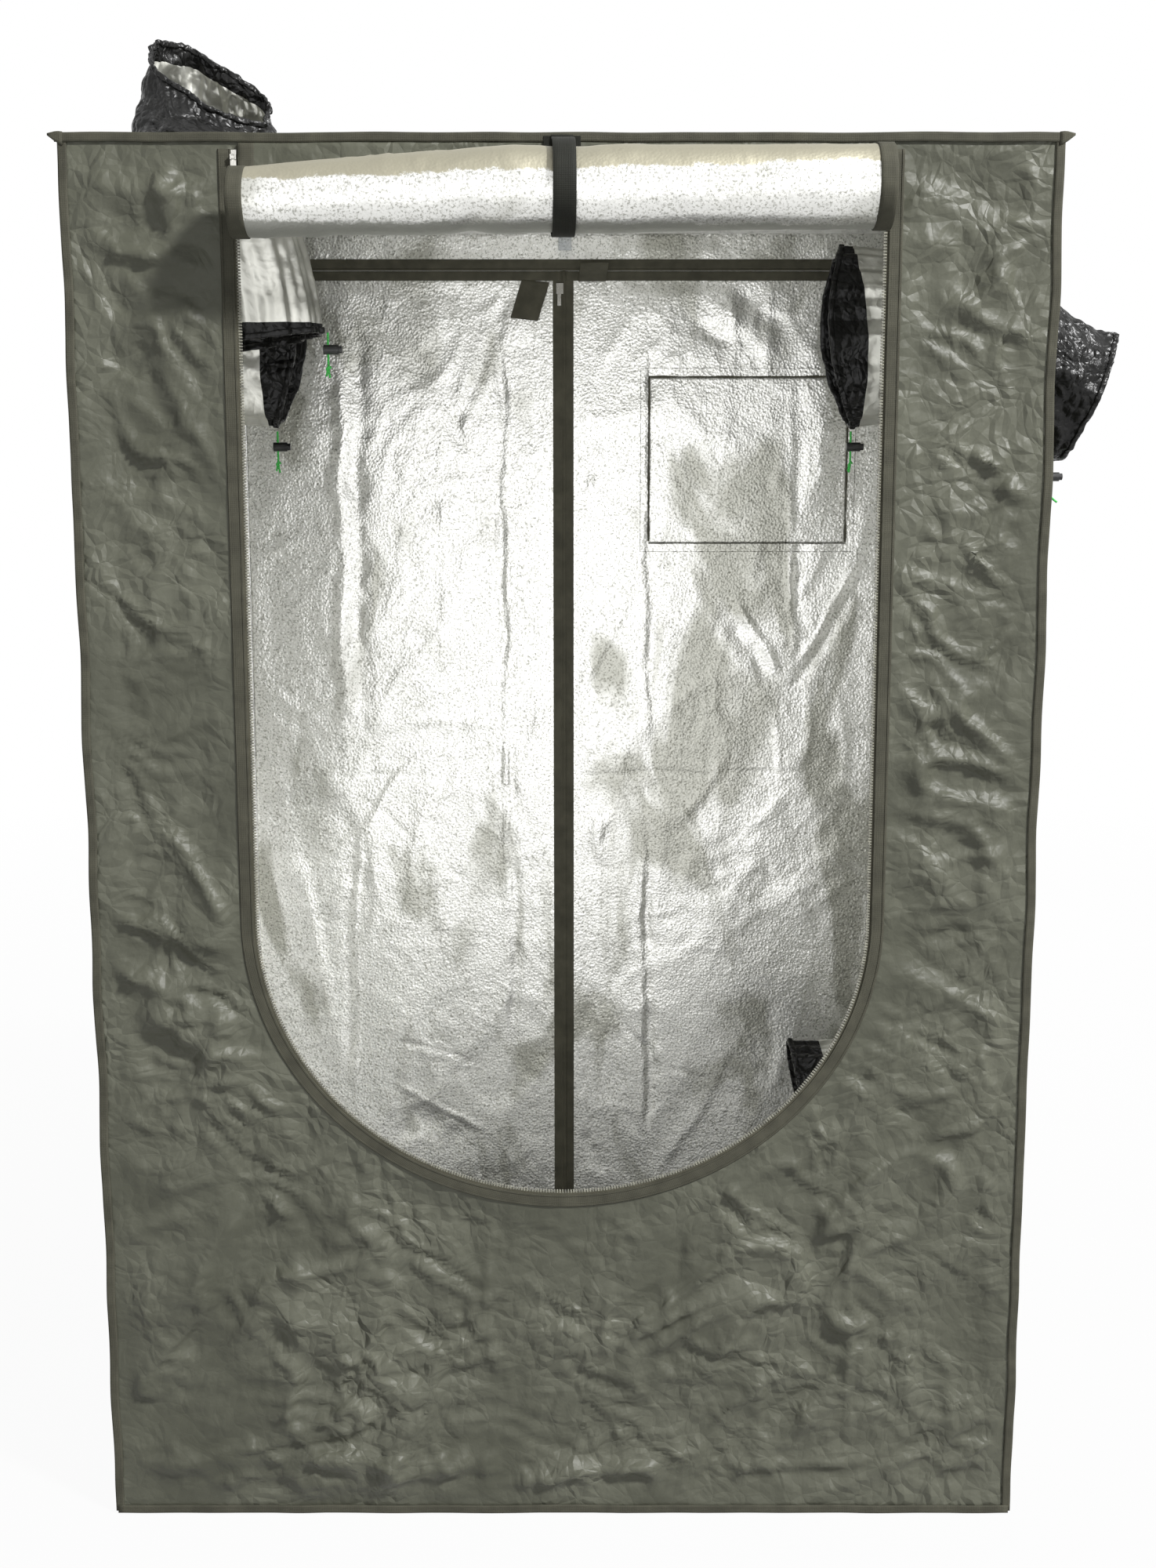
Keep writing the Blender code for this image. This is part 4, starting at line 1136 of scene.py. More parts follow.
class TENT_OT_shell(bpy.types.Operator):
    """Makes the side walls, the roof and the floor"""

    bl_idname = "tent.shell"
    bl_label = "Sides, roof and floor"

    def execute(self, context):
        sizes = context.scene.tent_cloth
        cloth = finishes()
        skins = [cloth["olive"], cloth["film"]]
        for side, sign, ports, seed in (
            ("left", -1, [high_port], 81.0),
            ("right", 1, [high_port, low_port], 97.0),
        ):

            def place(y, z, sign=sign, ports=ports, seed=seed):
                out = side_height(y, z, seed, ports)
                calm = smooth(rear_face - np.abs(y), 0.010, 0.050)
                calm *= smooth(z, 0.012, 0.050) * smooth(roof_z - z, 0.012, 0.050)
                return sign * (wall_x + np.maximum(out * calm, -0.0015 - 0.0065 * calm)), y, z

            wall = cloth_grid(
                f"{side}_side_cloth", (-rear_face, rear_face), (0.0015, roof_z - 0.0015), sizes.step,
                place, skins, [round_hole(*each, port_radius) for each in ports], flip=sign < 0,
            )
            thicken(wall, sizes.thickness, lining=1)
            finish_sheet(
                wall, "tent", [f"{side}_wall"],
                "olive_cloth",
            )

        def place_roof(x, y):
            out = side_height(x, y, 113.0, [roof_port])
            calm = smooth(rear_face - np.abs(y), 0.010, 0.060)
            calm *= smooth(wall_x - np.abs(x), 0.010, 0.060)
            return x, y, roof_z + np.maximum(out * calm, -roof_dip)

        roof = cloth_grid(
            "roof_cloth", (-wall_x, wall_x), (-rear_face, rear_face), sizes.step, place_roof,
            [cloth["roof"], cloth["film"]], [round_hole(*roof_port, port_radius)],
        )
        thicken(roof, sizes.thickness, lining=1)
        finish_sheet(
            roof, "tent", ["roof_panel"],
            "olive_cloth",
        )

        def place_floor(x, y):
            return x, y, 0.0008 + crumples(x, y, 131.0, 0.11, 1.4, 0.5) * 0.0006

        floor = cloth_grid(
            "floor_cloth", (-wall_x, wall_x), (-rear_face, rear_face), 0.012, place_floor,
            [cloth["tarpaulin"], cloth["tarpaulin"]],
        )
        thicken(floor, 0.0008, lining=1)
        finish_sheet(
            floor, "tent", ["floor_panel"],
            "black_cloth",
        )
        return {"FINISHED"}


class TENT_OT_rear(bpy.types.Operator):
    """Makes the rear wall, its two door leaves, the window and its flap"""

    bl_idname = "tent.rear"
    bl_label = "Rear wall and doors"

    def execute(self, context):
        sizes = context.scene.tent_cloth
        cloth = finishes()
        skins = [cloth["film"], cloth["olive"]]

        def place(x, z):
            return x, rear_face - rear_height(x, z), z

        half = hinge_gap - leaf_low.x
        foot, top = leaf_low.z - hinge_gap, leaf_high.z + upper_tape_gap
        wall = cloth_grid(
            "rear_cloth", (-wall_x, wall_x), (0.0, roof_z), sizes.step, place, skins,
            [box_hole(-half, half, foot, top)],
        )
        thicken(wall, sizes.thickness, lining=1)
        finish_sheet(
            wall, "tent", ["rear_wall"],
            "olive_cloth",
        )
        flap_low, flap_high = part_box("rear_window_flap")
        seam = 0.010
        window = box_hole(
            flap_low.x + seam, flap_high.x - seam, flap_low.z + seam, flap_high.z - seam
        )
        for side, holes in (("left", []), ("right", [window])):
            low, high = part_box(f"rear_door_{side}")
            leaf = cloth_grid(
                f"rear_leaf_{side}", (low.x, high.x), (low.z, high.z), sizes.rear_step, place,
                skins, holes,
            )
            thicken(leaf, sizes.thickness, lining=1)
            size = (high.x - low.x, high.z - low.z)
            area = size[0] * size[1]
            if holes:
                area -= (flap_high.x - flap_low.x - 2 * seam) * (flap_high.z - flap_low.z - 2 * seam)
            finish_sheet(
                leaf, f"rear_door_{side}", [f"rear_door_{side}"],
                "silver_cloth",
            )

        def place_net(x, z):
            return x, rear_face + 0.0009 - np.minimum(rear_height(x, z), 0.0), z

        net = cloth_grid(
            "window_net", (flap_low.x + 0.004, flap_high.x - 0.004),
            (flap_low.z + 0.004, flap_high.z - 0.004), 0.012, place_net, [cloth["net"]],
        )
        thicken(net, 0.0004)
        size = (flap_high.x - flap_low.x, flap_high.z - flap_low.z)
        finish_sheet(net, "rear_door_right", [])

        def place_flap(x, z):
            return x, rear_face - 0.0010 - np.maximum(rear_height(x, z), -0.001), z

        flap = cloth_grid(
            "window_flap", (flap_low.x, flap_high.x), (flap_low.z, flap_high.z), 0.005,
            place_flap, skins,
        )
        thicken(flap, 0.0007, lining=1)
        finish_sheet(
            flap, "rear_window_flap", ["rear_window_flap"],
            "silver_cloth",
        )
        self.slit_shade_and_seams(cloth, flap_low, flap_high)
        return {"FINISHED"}

    def slit_shade_and_seams(self, cloth, low, high):
        """The dark slit round the flap, as thin dark tape strips that are painted shade in the slit,
        and the rows of stitches beside it.
        """
        # Painted shade: dark strips along the flap's edges, thinnest at the foot, for the shade inside
        # the slit
        runs = (
            ("top", (low.x, high.z), (high.x, high.z), 0.0017),
            ("left", (low.x, low.z + 0.004), (low.x, high.z), 0.0015),
            ("right", (high.x, low.z + 0.002), (high.x, high.z), 0.0016),
            ("foot", (low.x, low.z), (high.x, low.z), 0.0006),
        )
        strips = []
        for label, start, end, half in runs:
            share = np.linspace(0, 1, 60)
            wide = half * np.clip(0.75 + grain(share * 9, 0.0, 4.4) * 1.1, 0.25, 1.2)
            strips.append(
                self.run(f"flap_slit_shade_{label}", start, end, wide, 0.0021, -0.001, 0.0004, cloth)
            )
        edge = merge("window_flap_slit_shade", strips)
        sew_on(edge, "rear_window_flap", "dark_webbing")
        far = 0.0130
        runs = (
            ("top", (low.x - far, high.z + far), (high.x + far, high.z + far)),
            ("left", (low.x - far, low.z - far), (low.x - far, high.z + far)),
            ("foot", (low.x - far, low.z - far), (high.x + far, low.z - far)),
            ("right", (high.x + far, low.z - far), (high.x + far, high.z + far)),
        )
        seams = []
        for label, start, end in runs:
            share = np.linspace(0, 1, 150)
            wide = 0.00045 * np.clip(0.6 + grain(share * 40, 0.0, 9.4) * 1.4, 0.15, 1.2)
            seams.append(
                self.run(f"window_seam_{label}", start, end, wide, 0.0003, -1.0, 0.0003, cloth)
            )
        seam = merge("window_seams", seams)
        sew_on(seam, "rear_door_right", "dark_webbing")

    def run(self, name, start, end, wide, lift, lowest, thick, cloth):
        """A strip over the film from one spot to another, as wide as each value of wide."""
        share = np.linspace(0, 1, len(wide))
        x = start[0] + (end[0] - start[0]) * share
        z = start[1] + (end[1] - start[1]) * share
        y = rear_face - lift - np.maximum(rear_height(x, z), lowest)
        side = (1, 0, 0) if abs(end[1] - start[1]) > abs(end[0] - start[0]) else (0, 0, 1)
        path = np.stack([x, y, z], axis=-1)
        return sweep(name, path, side, (0, 1, 0), wide, thick, [cloth["tape"]])


def flat_band(name, start, end, side, up, half_width, half_thick, material, wave=0.0, seed=0.0):
    """A straight band between two spots that wavers a little across its face and its width."""
    start, end = np.array(start, float), np.array(end, float)
    length = np.linalg.norm(end - start)
    share = np.linspace(0, 1, max(2, int(length / 0.008)) + 1)
    path = start + np.outer(share, end - start)
    side, up = np.array(side, float), np.array(up, float)
    if wave:
        swing = grain(share * length / 0.11, 0.0, seed) * wave
        lift = grain(share * length / 0.07, 0.0, seed + 5.0) * wave * 0.5
        ends = smooth(share, 0, 0.03) * smooth(1 - share, 0, 0.03)
        path = path + np.outer(swing * ends, side) + np.outer(np.abs(lift) * ends, up)
    return sweep(name, path, side, up, half_width, half_thick, [material])


class TENT_OT_bindings(bpy.types.Operator):
    """Binds the seams along all twelve edges, and the door's zip band"""

    bl_idname = "tent.bindings"
    bl_label = "Bindings"

    def execute(self, context):
        trim = context.scene.tent_trim
        tape = finishes()["trim"]
        half = trim.binding / 2
        thick = trim.binding_thick / 2
        x, z = wall_x - half + 0.0030, roof_z - half + 0.0030
        foot = half + 0.0012
        bands = []

        def bind(name, start, end, side, up, wave, seed):
            bands.append(flat_band(name, start, end, side, up, half, thick, tape, wave, seed))

        for name, way in (("front", -1.0), ("rear", 1.0)):
            y, up = way * (wall_y + thick), (0, way, 0)
            over = way * (wall_y + 2 * thick)
            for sign in (-1, 1):
                start, end = (sign * x, y, 0.004), (sign * x, y, roof_z)
                bind(f"{name}_upright_{sign}", start, end, (1, 0, 0), up, 0.0032, 3.0 + sign + way)
            start, end = (-wall_x - 0.006, over, z), (wall_x + 0.004, over, z)
            bind(f"{name}_top", start, end, (0, 0, 1), up, 0.0022, 11.0 + way)
            start, end = (-wall_x, over, foot), (wall_x, over, foot)
            bind(f"{name}_foot", start, end, (0, 0, 1), up, 0.0022, 17.0 + way)
        for sign in (-1, 1):
            out = sign * (wall_x + thick)
            for height, seed in ((z, 23.0 + sign + roof_z), (0.0100, 23.0 + sign + 0.0100)):
                start, end = (out, -wall_y, height), (out, wall_y, height)
                bind(f"side_{sign}", start, end, (0, 0, 1), (sign, 0, 0), 0.0024, seed)
        edge = merge("edge_bindings", bands)
        sew_on(edge, "tent", "dark_webbing")
        self.ears(tape)
        self.door_band(context, tape)
        return {"FINISHED"}

    def ears(self, tape):
        """The pointed ends of the top binding, which stick out at the two front corners."""
        made = []
        for sign in (-1, 1):
            path = [
                (sign * (wall_x - 0.004 + 0.0045 * i), -wall_y - 0.002, roof_z - 0.004 + 0.0011 * i)
                for i in range(5)
            ]
            widths = (0.0078, 0.0072, 0.0058, 0.0036, 0.0012)
            made.append(sweep(f"ear_{sign}", path, (0, 0, 1), (0, -1, 0), widths, 0.0016, [tape]))
        ears = merge("binding_ears", made)
        sew_on(ears, "tent", "dark_webbing")

    def door_band(self, context, tape):
        """The zip's tape round the U, with a stitched ridge on its outer edge."""
        trim = context.scene.tent_trim
        half = trim.door_band / 2
        pieces = [
            self.round_the_door(
                "door_band_flat", zip_mid + 0.0035 + half, half, 0.0007, 0.0007, tape
            )
        ]
        for offset in (0.0045, 2 * half + 0.0015):
            pieces.append(
                self.round_the_door("door_seam", zip_mid + offset, 0.0012, 0.0009, 0.0011, tape)
            )
        # Painted shade: a dark band of binding tape across the door just under the top binding, for the
        # door's folded cloth lying in shade above the roll
        level = roof_z - 0.0245
        pieces.append(
            flat_band(
                "door_header_shade", (-door_half, -wall_y - 0.0012, level),
                (door_half, -wall_y - 0.0012, level), (0, 0, 1), (0, -1, 0), 0.0125, 0.0006, tape,
                0.0016, 29.0,
            )
        )
        band = merge("door_band", pieces)
        sew_on(band, "tent", "dark_webbing")
        self.teeth(trim)

    def round_the_door(self, name, reach, half, thick, lift, material):
        """A tape along the U, its middle at reach from the door's middle line."""
        x, z = door_line(reach, door_top - 0.001, 0.006)
        path = np.stack([x, np.full_like(x, -wall_y - lift), z], axis=-1)
        front = (0, -1, 0)
        return sweep(name, path, np.cross(directions(path), front), front, half, thick, [material])

    def teeth(self, trim):
        """The half of the zip's teeth that stays on the wall, one small tooth repeated."""
        x, z = door_line(door_half + 0.0016, door_top - 0.004, trim.tooth)
        places = np.stack([x, np.full_like(x, -wall_y + cad_cloth / 2), z], axis=-1)
        front = np.array((0.0, -1.0, 0.0))
        pattern = rounded_block((0.0046, trim.tooth * 0.62, 0.0020), 0.0004)
        frames = [
            (place, np.stack([np.cross(along, front), along, front]))
            for place, along in zip(places, directions(places))
        ]
        row = copies("door_zip_teeth", pattern, frames, [finishes()["teeth"]])
        outward(row)
        cloth_edge = self.round_the_door(
            "zip_edge", zip_mid + 0.0026, 0.0034, 0.0005, -cad_cloth / 2, finishes()["tape"]
        )
        zipper = merge("door_zip", [row, cloth_edge])
        sew_on(zipper, "tent", "dark_webbing")


def roll_radius_at(x):
    """The roll's radius: thin at its left end, and pinched under the strap."""
    places = (-0.384, -0.20, -0.06, 0.0, 0.06, 0.384)
    return np.interp(x, places, (0.0415, 0.0480, 0.0520, 0.0508, 0.0520, 0.0500))


def roll_height_at(x):
    """The height of the roll's centre: it sags at its left end."""
    return np.interp(x, (-0.384, -0.10, 0.10, 0.384), (1.6945, 1.7075, 1.7100, 1.7130))


# The roll: its centre's Y, half its length, its turns and the radius of its core
roll_y = -0.354
roll_half = 0.384
roll_turns = 6.5
roll_core = 0.014


def roll_points(x, share_of_turns):
    """A point of the rolled door's outer skin, from its seam (below 0) to its core (at 1)."""
    radius, height = roll_radius_at(x), roll_height_at(x)
    angle = math.tau * share_of_turns * roll_turns
    size = radius - (radius - roll_core) * share_of_turns
    away_y, away_z = np.cos(angle), -np.sin(angle)
    dent = 0.0020 * grain(x / 0.10, away_z * 1.1 + 40.0, 141.0)
    dent += 0.0016 * (crumples(x, away_z * 0.05 + away_y * 0.03, 147.0, 0.055, 0.6, 0.5) - 0.3)
    spot_x = spot(600, 240, roll_y)[0]
    dent -= 0.0030 * np.exp(-(((x - spot_x) / 0.016) ** 2)) * smooth(-away_z, 0.1, 0.8)
    size = size + np.minimum(dent, 0.0016)
    return x, roll_y + size * away_y, height + size * away_z


class TENT_OT_roll(bpy.types.Operator):
    """Winds the front door into its roll, with bound ends and the webbing strap"""

    bl_idname = "tent.roll"
    bl_label = "Rolled door and strap"

    def execute(self, context):
        cloth = finishes()
        trim = context.scene.tent_trim
        columns = np.linspace(-roll_half, roll_half, 110)
        per_turn = 34
        wound = np.linspace(0, 1, int(roll_turns * per_turn) + 1)
        rows = [self.lead(columns, share) for share in np.linspace(0, 1, 9)[:-1]]
        rows += [np.stack(roll_points(columns, share), axis=-1) for share in wound]
        grid = np.array(rows)
        thing = self.skin("door_roll", grid, [cloth["roll_film"], cloth["olive"]])
        thicken(thing, 0.0009, lining=1)
        finish_sheet(
            thing, "tent", ["front_door_roll"],
            "silver_cloth",
        )
        self.end_bands(cloth, trim, grid)
        self.strap(cloth)
        return {"FINISHED"}

    def lead(self, x, share):
        """The door's cloth between its seam and the back of the roll."""
        start_y, start_z = -wall_y - 0.0011, door_top + 0.010
        _, end_y, end_z = roll_points(x, 0.0)
        ease = smooth(share, 0, 1)
        return np.stack(
            [x, start_y + (end_y - start_y) * ease, start_z + (end_z - start_z) * share], axis=-1
        )

    def skin(self, name, grid, materials):
        """A sheet through a grid of points, with its width and its wound length as its map."""
        rows, columns, _ = grid.shape
        quads = grid_faces(np.arange(rows * columns).reshape(rows, columns))
        middle = grid[:, columns // 2]
        reach = np.concatenate([[0], np.cumsum(np.linalg.norm(np.diff(middle, axis=0), axis=1))])
        uvs = np.stack(np.broadcast_arrays(grid[:, :, 0], reach[:, None]), axis=-1).reshape(-1, 2)
        return mesh_piece(name, grid.reshape(-1, 3), quads, materials, uvs=uvs)

    def end_bands(self, cloth, trim, grid):
        """The dark binding on the door's two side edges, wound up with it."""
        made = []
        for sign in (-1, 1):
            edge = sign * (roll_half - trim.end_band / 2 + 0.003)
            column = 0 if sign < 0 else grid.shape[1] - 1
            path = grid[:, column].copy()
            path[:, 0] = edge
            ups = np.cross(directions(path), (1, 0, 0))
            path -= ups * 0.0005
            half = trim.end_band / 2
            made.append(
                sweep(f"roll_end_{sign}", path, (1, 0, 0), ups, half, 0.0014, [cloth["trim"]])
            )
        bands = merge("door_roll_edges", made)
        sew_on(bands, "tent", "dark_webbing")

    def strap(self, cloth):
        """Webbing over its sewn patch, round the roll and up behind it."""
        x, half, thick = 0.001, 0.0135, 0.0008
        outside = -wall_y - 0.0048
        radius = 0.0548
        height = 1.7100
        top = roof_z - 0.0005
        path = [(x, outside, top), (x, outside - 0.001, roof_z - 0.012)]
        for i in range(41):
            angle = math.radians(66 + (300 - 66) * i / 40)
            slant = 0.004 * math.sin(math.pi * i / 40)
            path.append(
                (x + slant, roll_y + radius * math.cos(angle), height + radius * math.sin(angle))
            )
        inside = -wall_y + 0.0026
        path += [(x, inside, height - 0.020), (x, inside, height + 0.02), (x, inside, door_top + 0.010)]
        path = np.array(path)
        ups = np.cross((1, 0, 0), directions(path))
        web = sweep("strap_web", path, (1, 0, 0), ups, half, thick, [cloth["webbing"]])
        patch = rounded_block((0.045, 0.0016, 0.025), 0.0004)
        patch.data.materials.append(cloth["webbing"])
        move_mesh(patch, Matrix.Translation((x, -wall_y - 0.0034, roof_z - 0.0140)))
        layer = patch.data.uv_layers.active or patch.data.uv_layers.new()
        layer.name = "cloth"
        stitches = self.stitches(x, -wall_y - 0.0058)
        strap = merge("roll_strap", [web, patch, stitches])
        sew_on(strap, "tent", "dark_webbing", "front_roll_strap")

    def stitches(self, x, y):
        """A box of stitches that sews the webbing to its patch."""
        pattern = rounded_block((0.0022, 0.0006, 0.0007), 0.0002)
        frames = []
        axes = np.eye(3)
        turned = np.array([(0, 0, 1.0), (0, 1.0, 0), (-1.0, 0, 0)])
        for i in range(7):
            for z in (roof_z - 0.006, roof_z - 0.021):
                frames.append((np.array((x - 0.0096 + 0.0032 * i, y, z)), axes))
        for i in range(4):
            for side in (-0.0105, 0.0105):
                frames.append((np.array((x + side, y, roof_z - 0.0185 + 0.0034 * i)), turned))
        return copies("strap_stitches", pattern, frames, [finishes()["trim"]])


class TENT_OT_rear_zips(bpy.types.Operator):
    """Sews the rear zip tapes and their coils, and the two tie tabs"""

    bl_idname = "tent.rear_zips"
    bl_label = "Rear zips and ties"

    def execute(self, context):
        cloth = finishes()
        half = 0.0145 / 2
        thin = 0.0006
        y = rear_face - 0.0011
        over = y - 0.0003
        coil_half = 0.0021
        high = leaf_high.z
        tape = cloth["tape"]
        for side, sign in (("left", -1), ("right", 1)):
            node = f"rear_zip_{side}"
            low_corner, high_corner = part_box(node)
            foot = low_corner.z
            far, free = sorted((low_corner.x, high_corner.x), reverse=sign > 0)
            x, z = free + sign * half, high - half
            middle = split_x + sign * (coil_half - 0.0004)
            lift = y - 0.0009 - 0.0006 * sign
            tapes = [
                self.strip(f"{node}_upright", (x, y, foot), (x, y, high), half, thin, tape),
                self.strip(f"{node}_level", (free, over, z), (far, over, z), half, thin, tape),
                self.strip(
                    f"{node}_coil", (middle, lift, foot), (middle, lift, high), coil_half, 0.0005, tape
                ),
            ]
            tapes = merge(f"rear_tape_{side}", tapes)
            sew_on(tapes, f"rear_door_{side}", "dark_webbing", node)
        upper = []
        for name, way, z, wide, thick in (
            ("rear_upper_tape", over, high + upper_tape_gap + half, half, thin),
            ("rear_upper_coil", y - 0.0008, high + upper_tape_gap / 2, 0.0014, 0.0009),
        ):
            start, end = (-hinge_x, way, z), (hinge_x, way, z)
            upper.append(self.strip(name, start, end, wide, thick, tape))
        upper = merge("rear_upper_zip", upper)
        sew_on(upper, "tent", "dark_webbing")
        self.outside_zips(cloth, high)
        self.ties(cloth)
        return {"FINISHED"}

    def strip(self, name, start, end, half_width, half_thick, material, out=-1):
        """A straight tape on the rear wall's lining, or on its outside where out is 1."""
        side = (1, 0, 0) if start[0] == end[0] else (0, 0, 1)
        return flat_band(name, start, end, side, (0, out, 0), half_width, half_thick, material)

    def outside_zips(self, cloth, high):
        """Tape on the outside of the rear doors, which a viewer behind the tent sees."""
        y = wall_y + 0.0004
        half, thin, inset = 0.0068, 0.0005, 0.007
        trim = cloth["trim"]
        for side, sign in (("left", -1), ("right", 1)):
            low_corner, high_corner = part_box(f"rear_door_{side}")
            far, free = sorted((low_corner.x, high_corner.x), reverse=sign > 0)
            x, z = free + sign * inset, high - inset
            start, end = (x, y, low_corner.z), (x, y, high)
            pieces = [
                self.strip(f"{side}_out_up", start, end, half, thin, trim, 1),
                self.strip(f"{side}_out_across", (free, y, z), (far, y, z), half, thin, trim, 1),
            ]
            outer = merge(f"rear_outer_tape_{side}", pieces)
            sew_on(outer, f"rear_door_{side}", "dark_webbing")

    def ties(self, cloth):
        """The left tab hangs flat; the right one stands out, nearly straight to clear its leaf."""
        count = 14
        share = np.linspace(0, 1, count)
        for side, skew in (("left", -0.018), ("right", 0.004)):
            node = f"rear_tie_{side}"
            low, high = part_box(node)
            x = (low.x + high.x) / 2 + skew * share
            if side == "left":
                y = low.y + 0.0002 - 0.0022 * np.sin(share * 2.2)
                z = high.z - (high.z - low.z) * share
                sides = np.tile((1.0, 0, -0.10), (count, 1))
            else:
                y = high.y - 0.0006 - (high.y - low.y) * share
                z = low.z + 0.0010 + (high.z - low.z - 0.0012) * share
                sides = np.array([(1.0, 0, 0.03 * i / count) for i in range(count)])
            path = np.stack([x, y, z], axis=-1)
            sides = unit(sides)
            ups = np.cross(sides, directions(path))
            tie = sweep(f"tie_tab_{side}", path, sides, ups, 0.0215, 0.0006, [cloth["tape"]])
            sew_on(tie, node, "dark_webbing", node)


def facets(points, size, seed):
    """How far spots lie from the ridges of crumpled taffeta, in flat facets with sharp edges."""
    spots = points / size
    cell = np.floor(spots)
    first = np.full(spots.shape[:-1], 9.0)
    second = first.copy()
    for shift in np.ndindex(3, 3, 3):
        corner = cell + shift - 1.0
        jitter = [scatter(seed + 3.3 * axis, *np.moveaxis(corner, -1, 0)) for axis in range(3)]
        away = np.linalg.norm(corner + np.stack(jitter, axis=-1) - spots, axis=-1)
        second = np.minimum(second, np.maximum(first, away))
        first = np.minimum(first, away)
    return second - first


# Each sleeve: the way out of its port and the way of its wide side, how far its mouth shifts and
# turns, its mouth's half sizes, how far out its rim and its cuff lie (all round, more at the wide
# side's high end, more at the thin sides), and the depth and number of its folds
sleeve_facts = {
    "roof_sleeve_outer": dict(
        out=(0, 0, 1), wide=(1, 0, 0), shift=-0.004, turn=(33, 34), mouth=(0.086, 0.060),
        rim=(0.105, 0.0, 0.002), cuff=(0.084, 0.0, 0.0), ruffle=0.0125, pleats=0, outside=True,
    ),
    "roof_sleeve_inner": dict(
        out=(0, 0, -1), wide=(1, 0, 0), shift=0.012, turn=(0, 0), mouth=(0.126, 0.060),
        rim=(0.223, -0.015, 0.004), cuff=(0.200, -0.004, 0.002), ruffle=0.0030, pleats=15,
        outside=False,
    ),
    "left_sleeve_inner": dict(
        out=(1, 0, 0), wide=(0, 0, 1), shift=0.004, turn=(0, 0), mouth=(0.124, 0.044),
        rim=(0.1955, 0.0105, 0.026), cuff=(0.1790, 0.0075, -0.010), ruffle=0.0028, pleats=12,
        outside=False,
    ),
    "right_sleeve_inner": dict(
        out=(-1, 0, 0), wide=(0, 0, 1), shift=0.004, turn=(0, 0), mouth=(0.124, 0.044),
        rim=(0.1955, 0.0105, 0.028), cuff=(0.1790, 0.0075, -0.010), ruffle=0.0028, pleats=12,
        outside=False,
    ),
    "right_sleeve_outer": dict(
        out=(1, 0, 0), wide=(0, 0, 1), shift=-0.078, turn=(-21, 0), mouth=(0.094, 0.084),
        rim=(0.150, 0.0, 0.0), cuff=(0.126, 0.0, 0.0), ruffle=0.0105, pleats=0, outside=True,
    ),
    "low_sleeve_inner": dict(
        out=(-1, 0, 0), wide=(0, 0, 1), shift=-0.010, turn=(-14, 0), mouth=(0.100, 0.070),
        rim=(0.232, 0.0, 0.006), cuff=(0.188, 0.0, 0.0), ruffle=0.0040, pleats=12,
        outside=False,
    ),
}


def sleeve_surface(facts, seed, reach, angle):
    """Points of a sleeve in its own frame; reach is 0 at the port, 1 at the cuff and 2 at the rim."""
    cosine, sine = np.cos(angle), np.sin(angle)

    def level(values):
        return values[0] + values[1] * cosine + values[2] * sine**2

    cuff, rim = level(facts["cuff"]), level(facts["rim"])
    out = np.where(reach < 1, cuff * reach, cuff + (rim - cuff) * (reach - 1))
    share = np.clip(out / facts["rim"][0], 0, 1.12)
    ease = smooth(share, 0, 1)
    port = 0.0985
    wide = port + (facts["mouth"][0] - port) * ease
    thin = port + (facts["mouth"][1] - port) * ease
    base = np.stack([port_radius * cosine, port_radius * sine, out], axis=-1)
    ruffle = facts["ruffle"]
    swell = ruffle * 1.2 * grain(1.6 * cosine + 0.48 * sine + out * 9.0, sine * 1.6, seed)
    plates = facets(base, 0.034, seed) - 0.30
    chips = facets(base, 0.015, seed + 4.0) - 0.30
    if facts["pleats"]:
        drift = 1.6 * grain(cosine * 1.3 + out * 3.0, sine * 1.3, seed + 9.0)
        pleats = 0.0021 * np.cos(facts["pleats"] * angle + drift)
        pleats += 0.0014 * np.cos(facts["pleats"] * 2.13 * np.sin(angle / 2) * 2 + drift * 2)
        swell += pleats * smooth(share, 0.0, 0.25)
    swell += ruffle * (0.75 * plates + 0.42 * chips)
    uneven = grain(cosine * 4, sine * 4, seed)
    gathers = smooth(reach, 1.0, 2.0) * np.cos(47 * angle + 7.0 * uneven) * (0.4 + uneven)
    swell = swell * smooth(share, 0.0, 0.10) + 0.0009 * gathers
    ring = np.stack([(wide + swell) * cosine, (thin + swell) * sine, 0 * swell], axis=-1)
    tilt, lean = (math.radians(value) for value in facts["turn"])
    x, y = ring[..., 0], ring[..., 1]
    y, z = y * np.cos(lean * ease), y * np.sin(lean * ease)
    turned = tilt * ease
    x, z = x * np.cos(turned) + z * np.sin(turned), z * np.cos(turned) - x * np.sin(turned)
    return np.stack([x + facts["shift"] * ease, y, out + z], axis=-1)


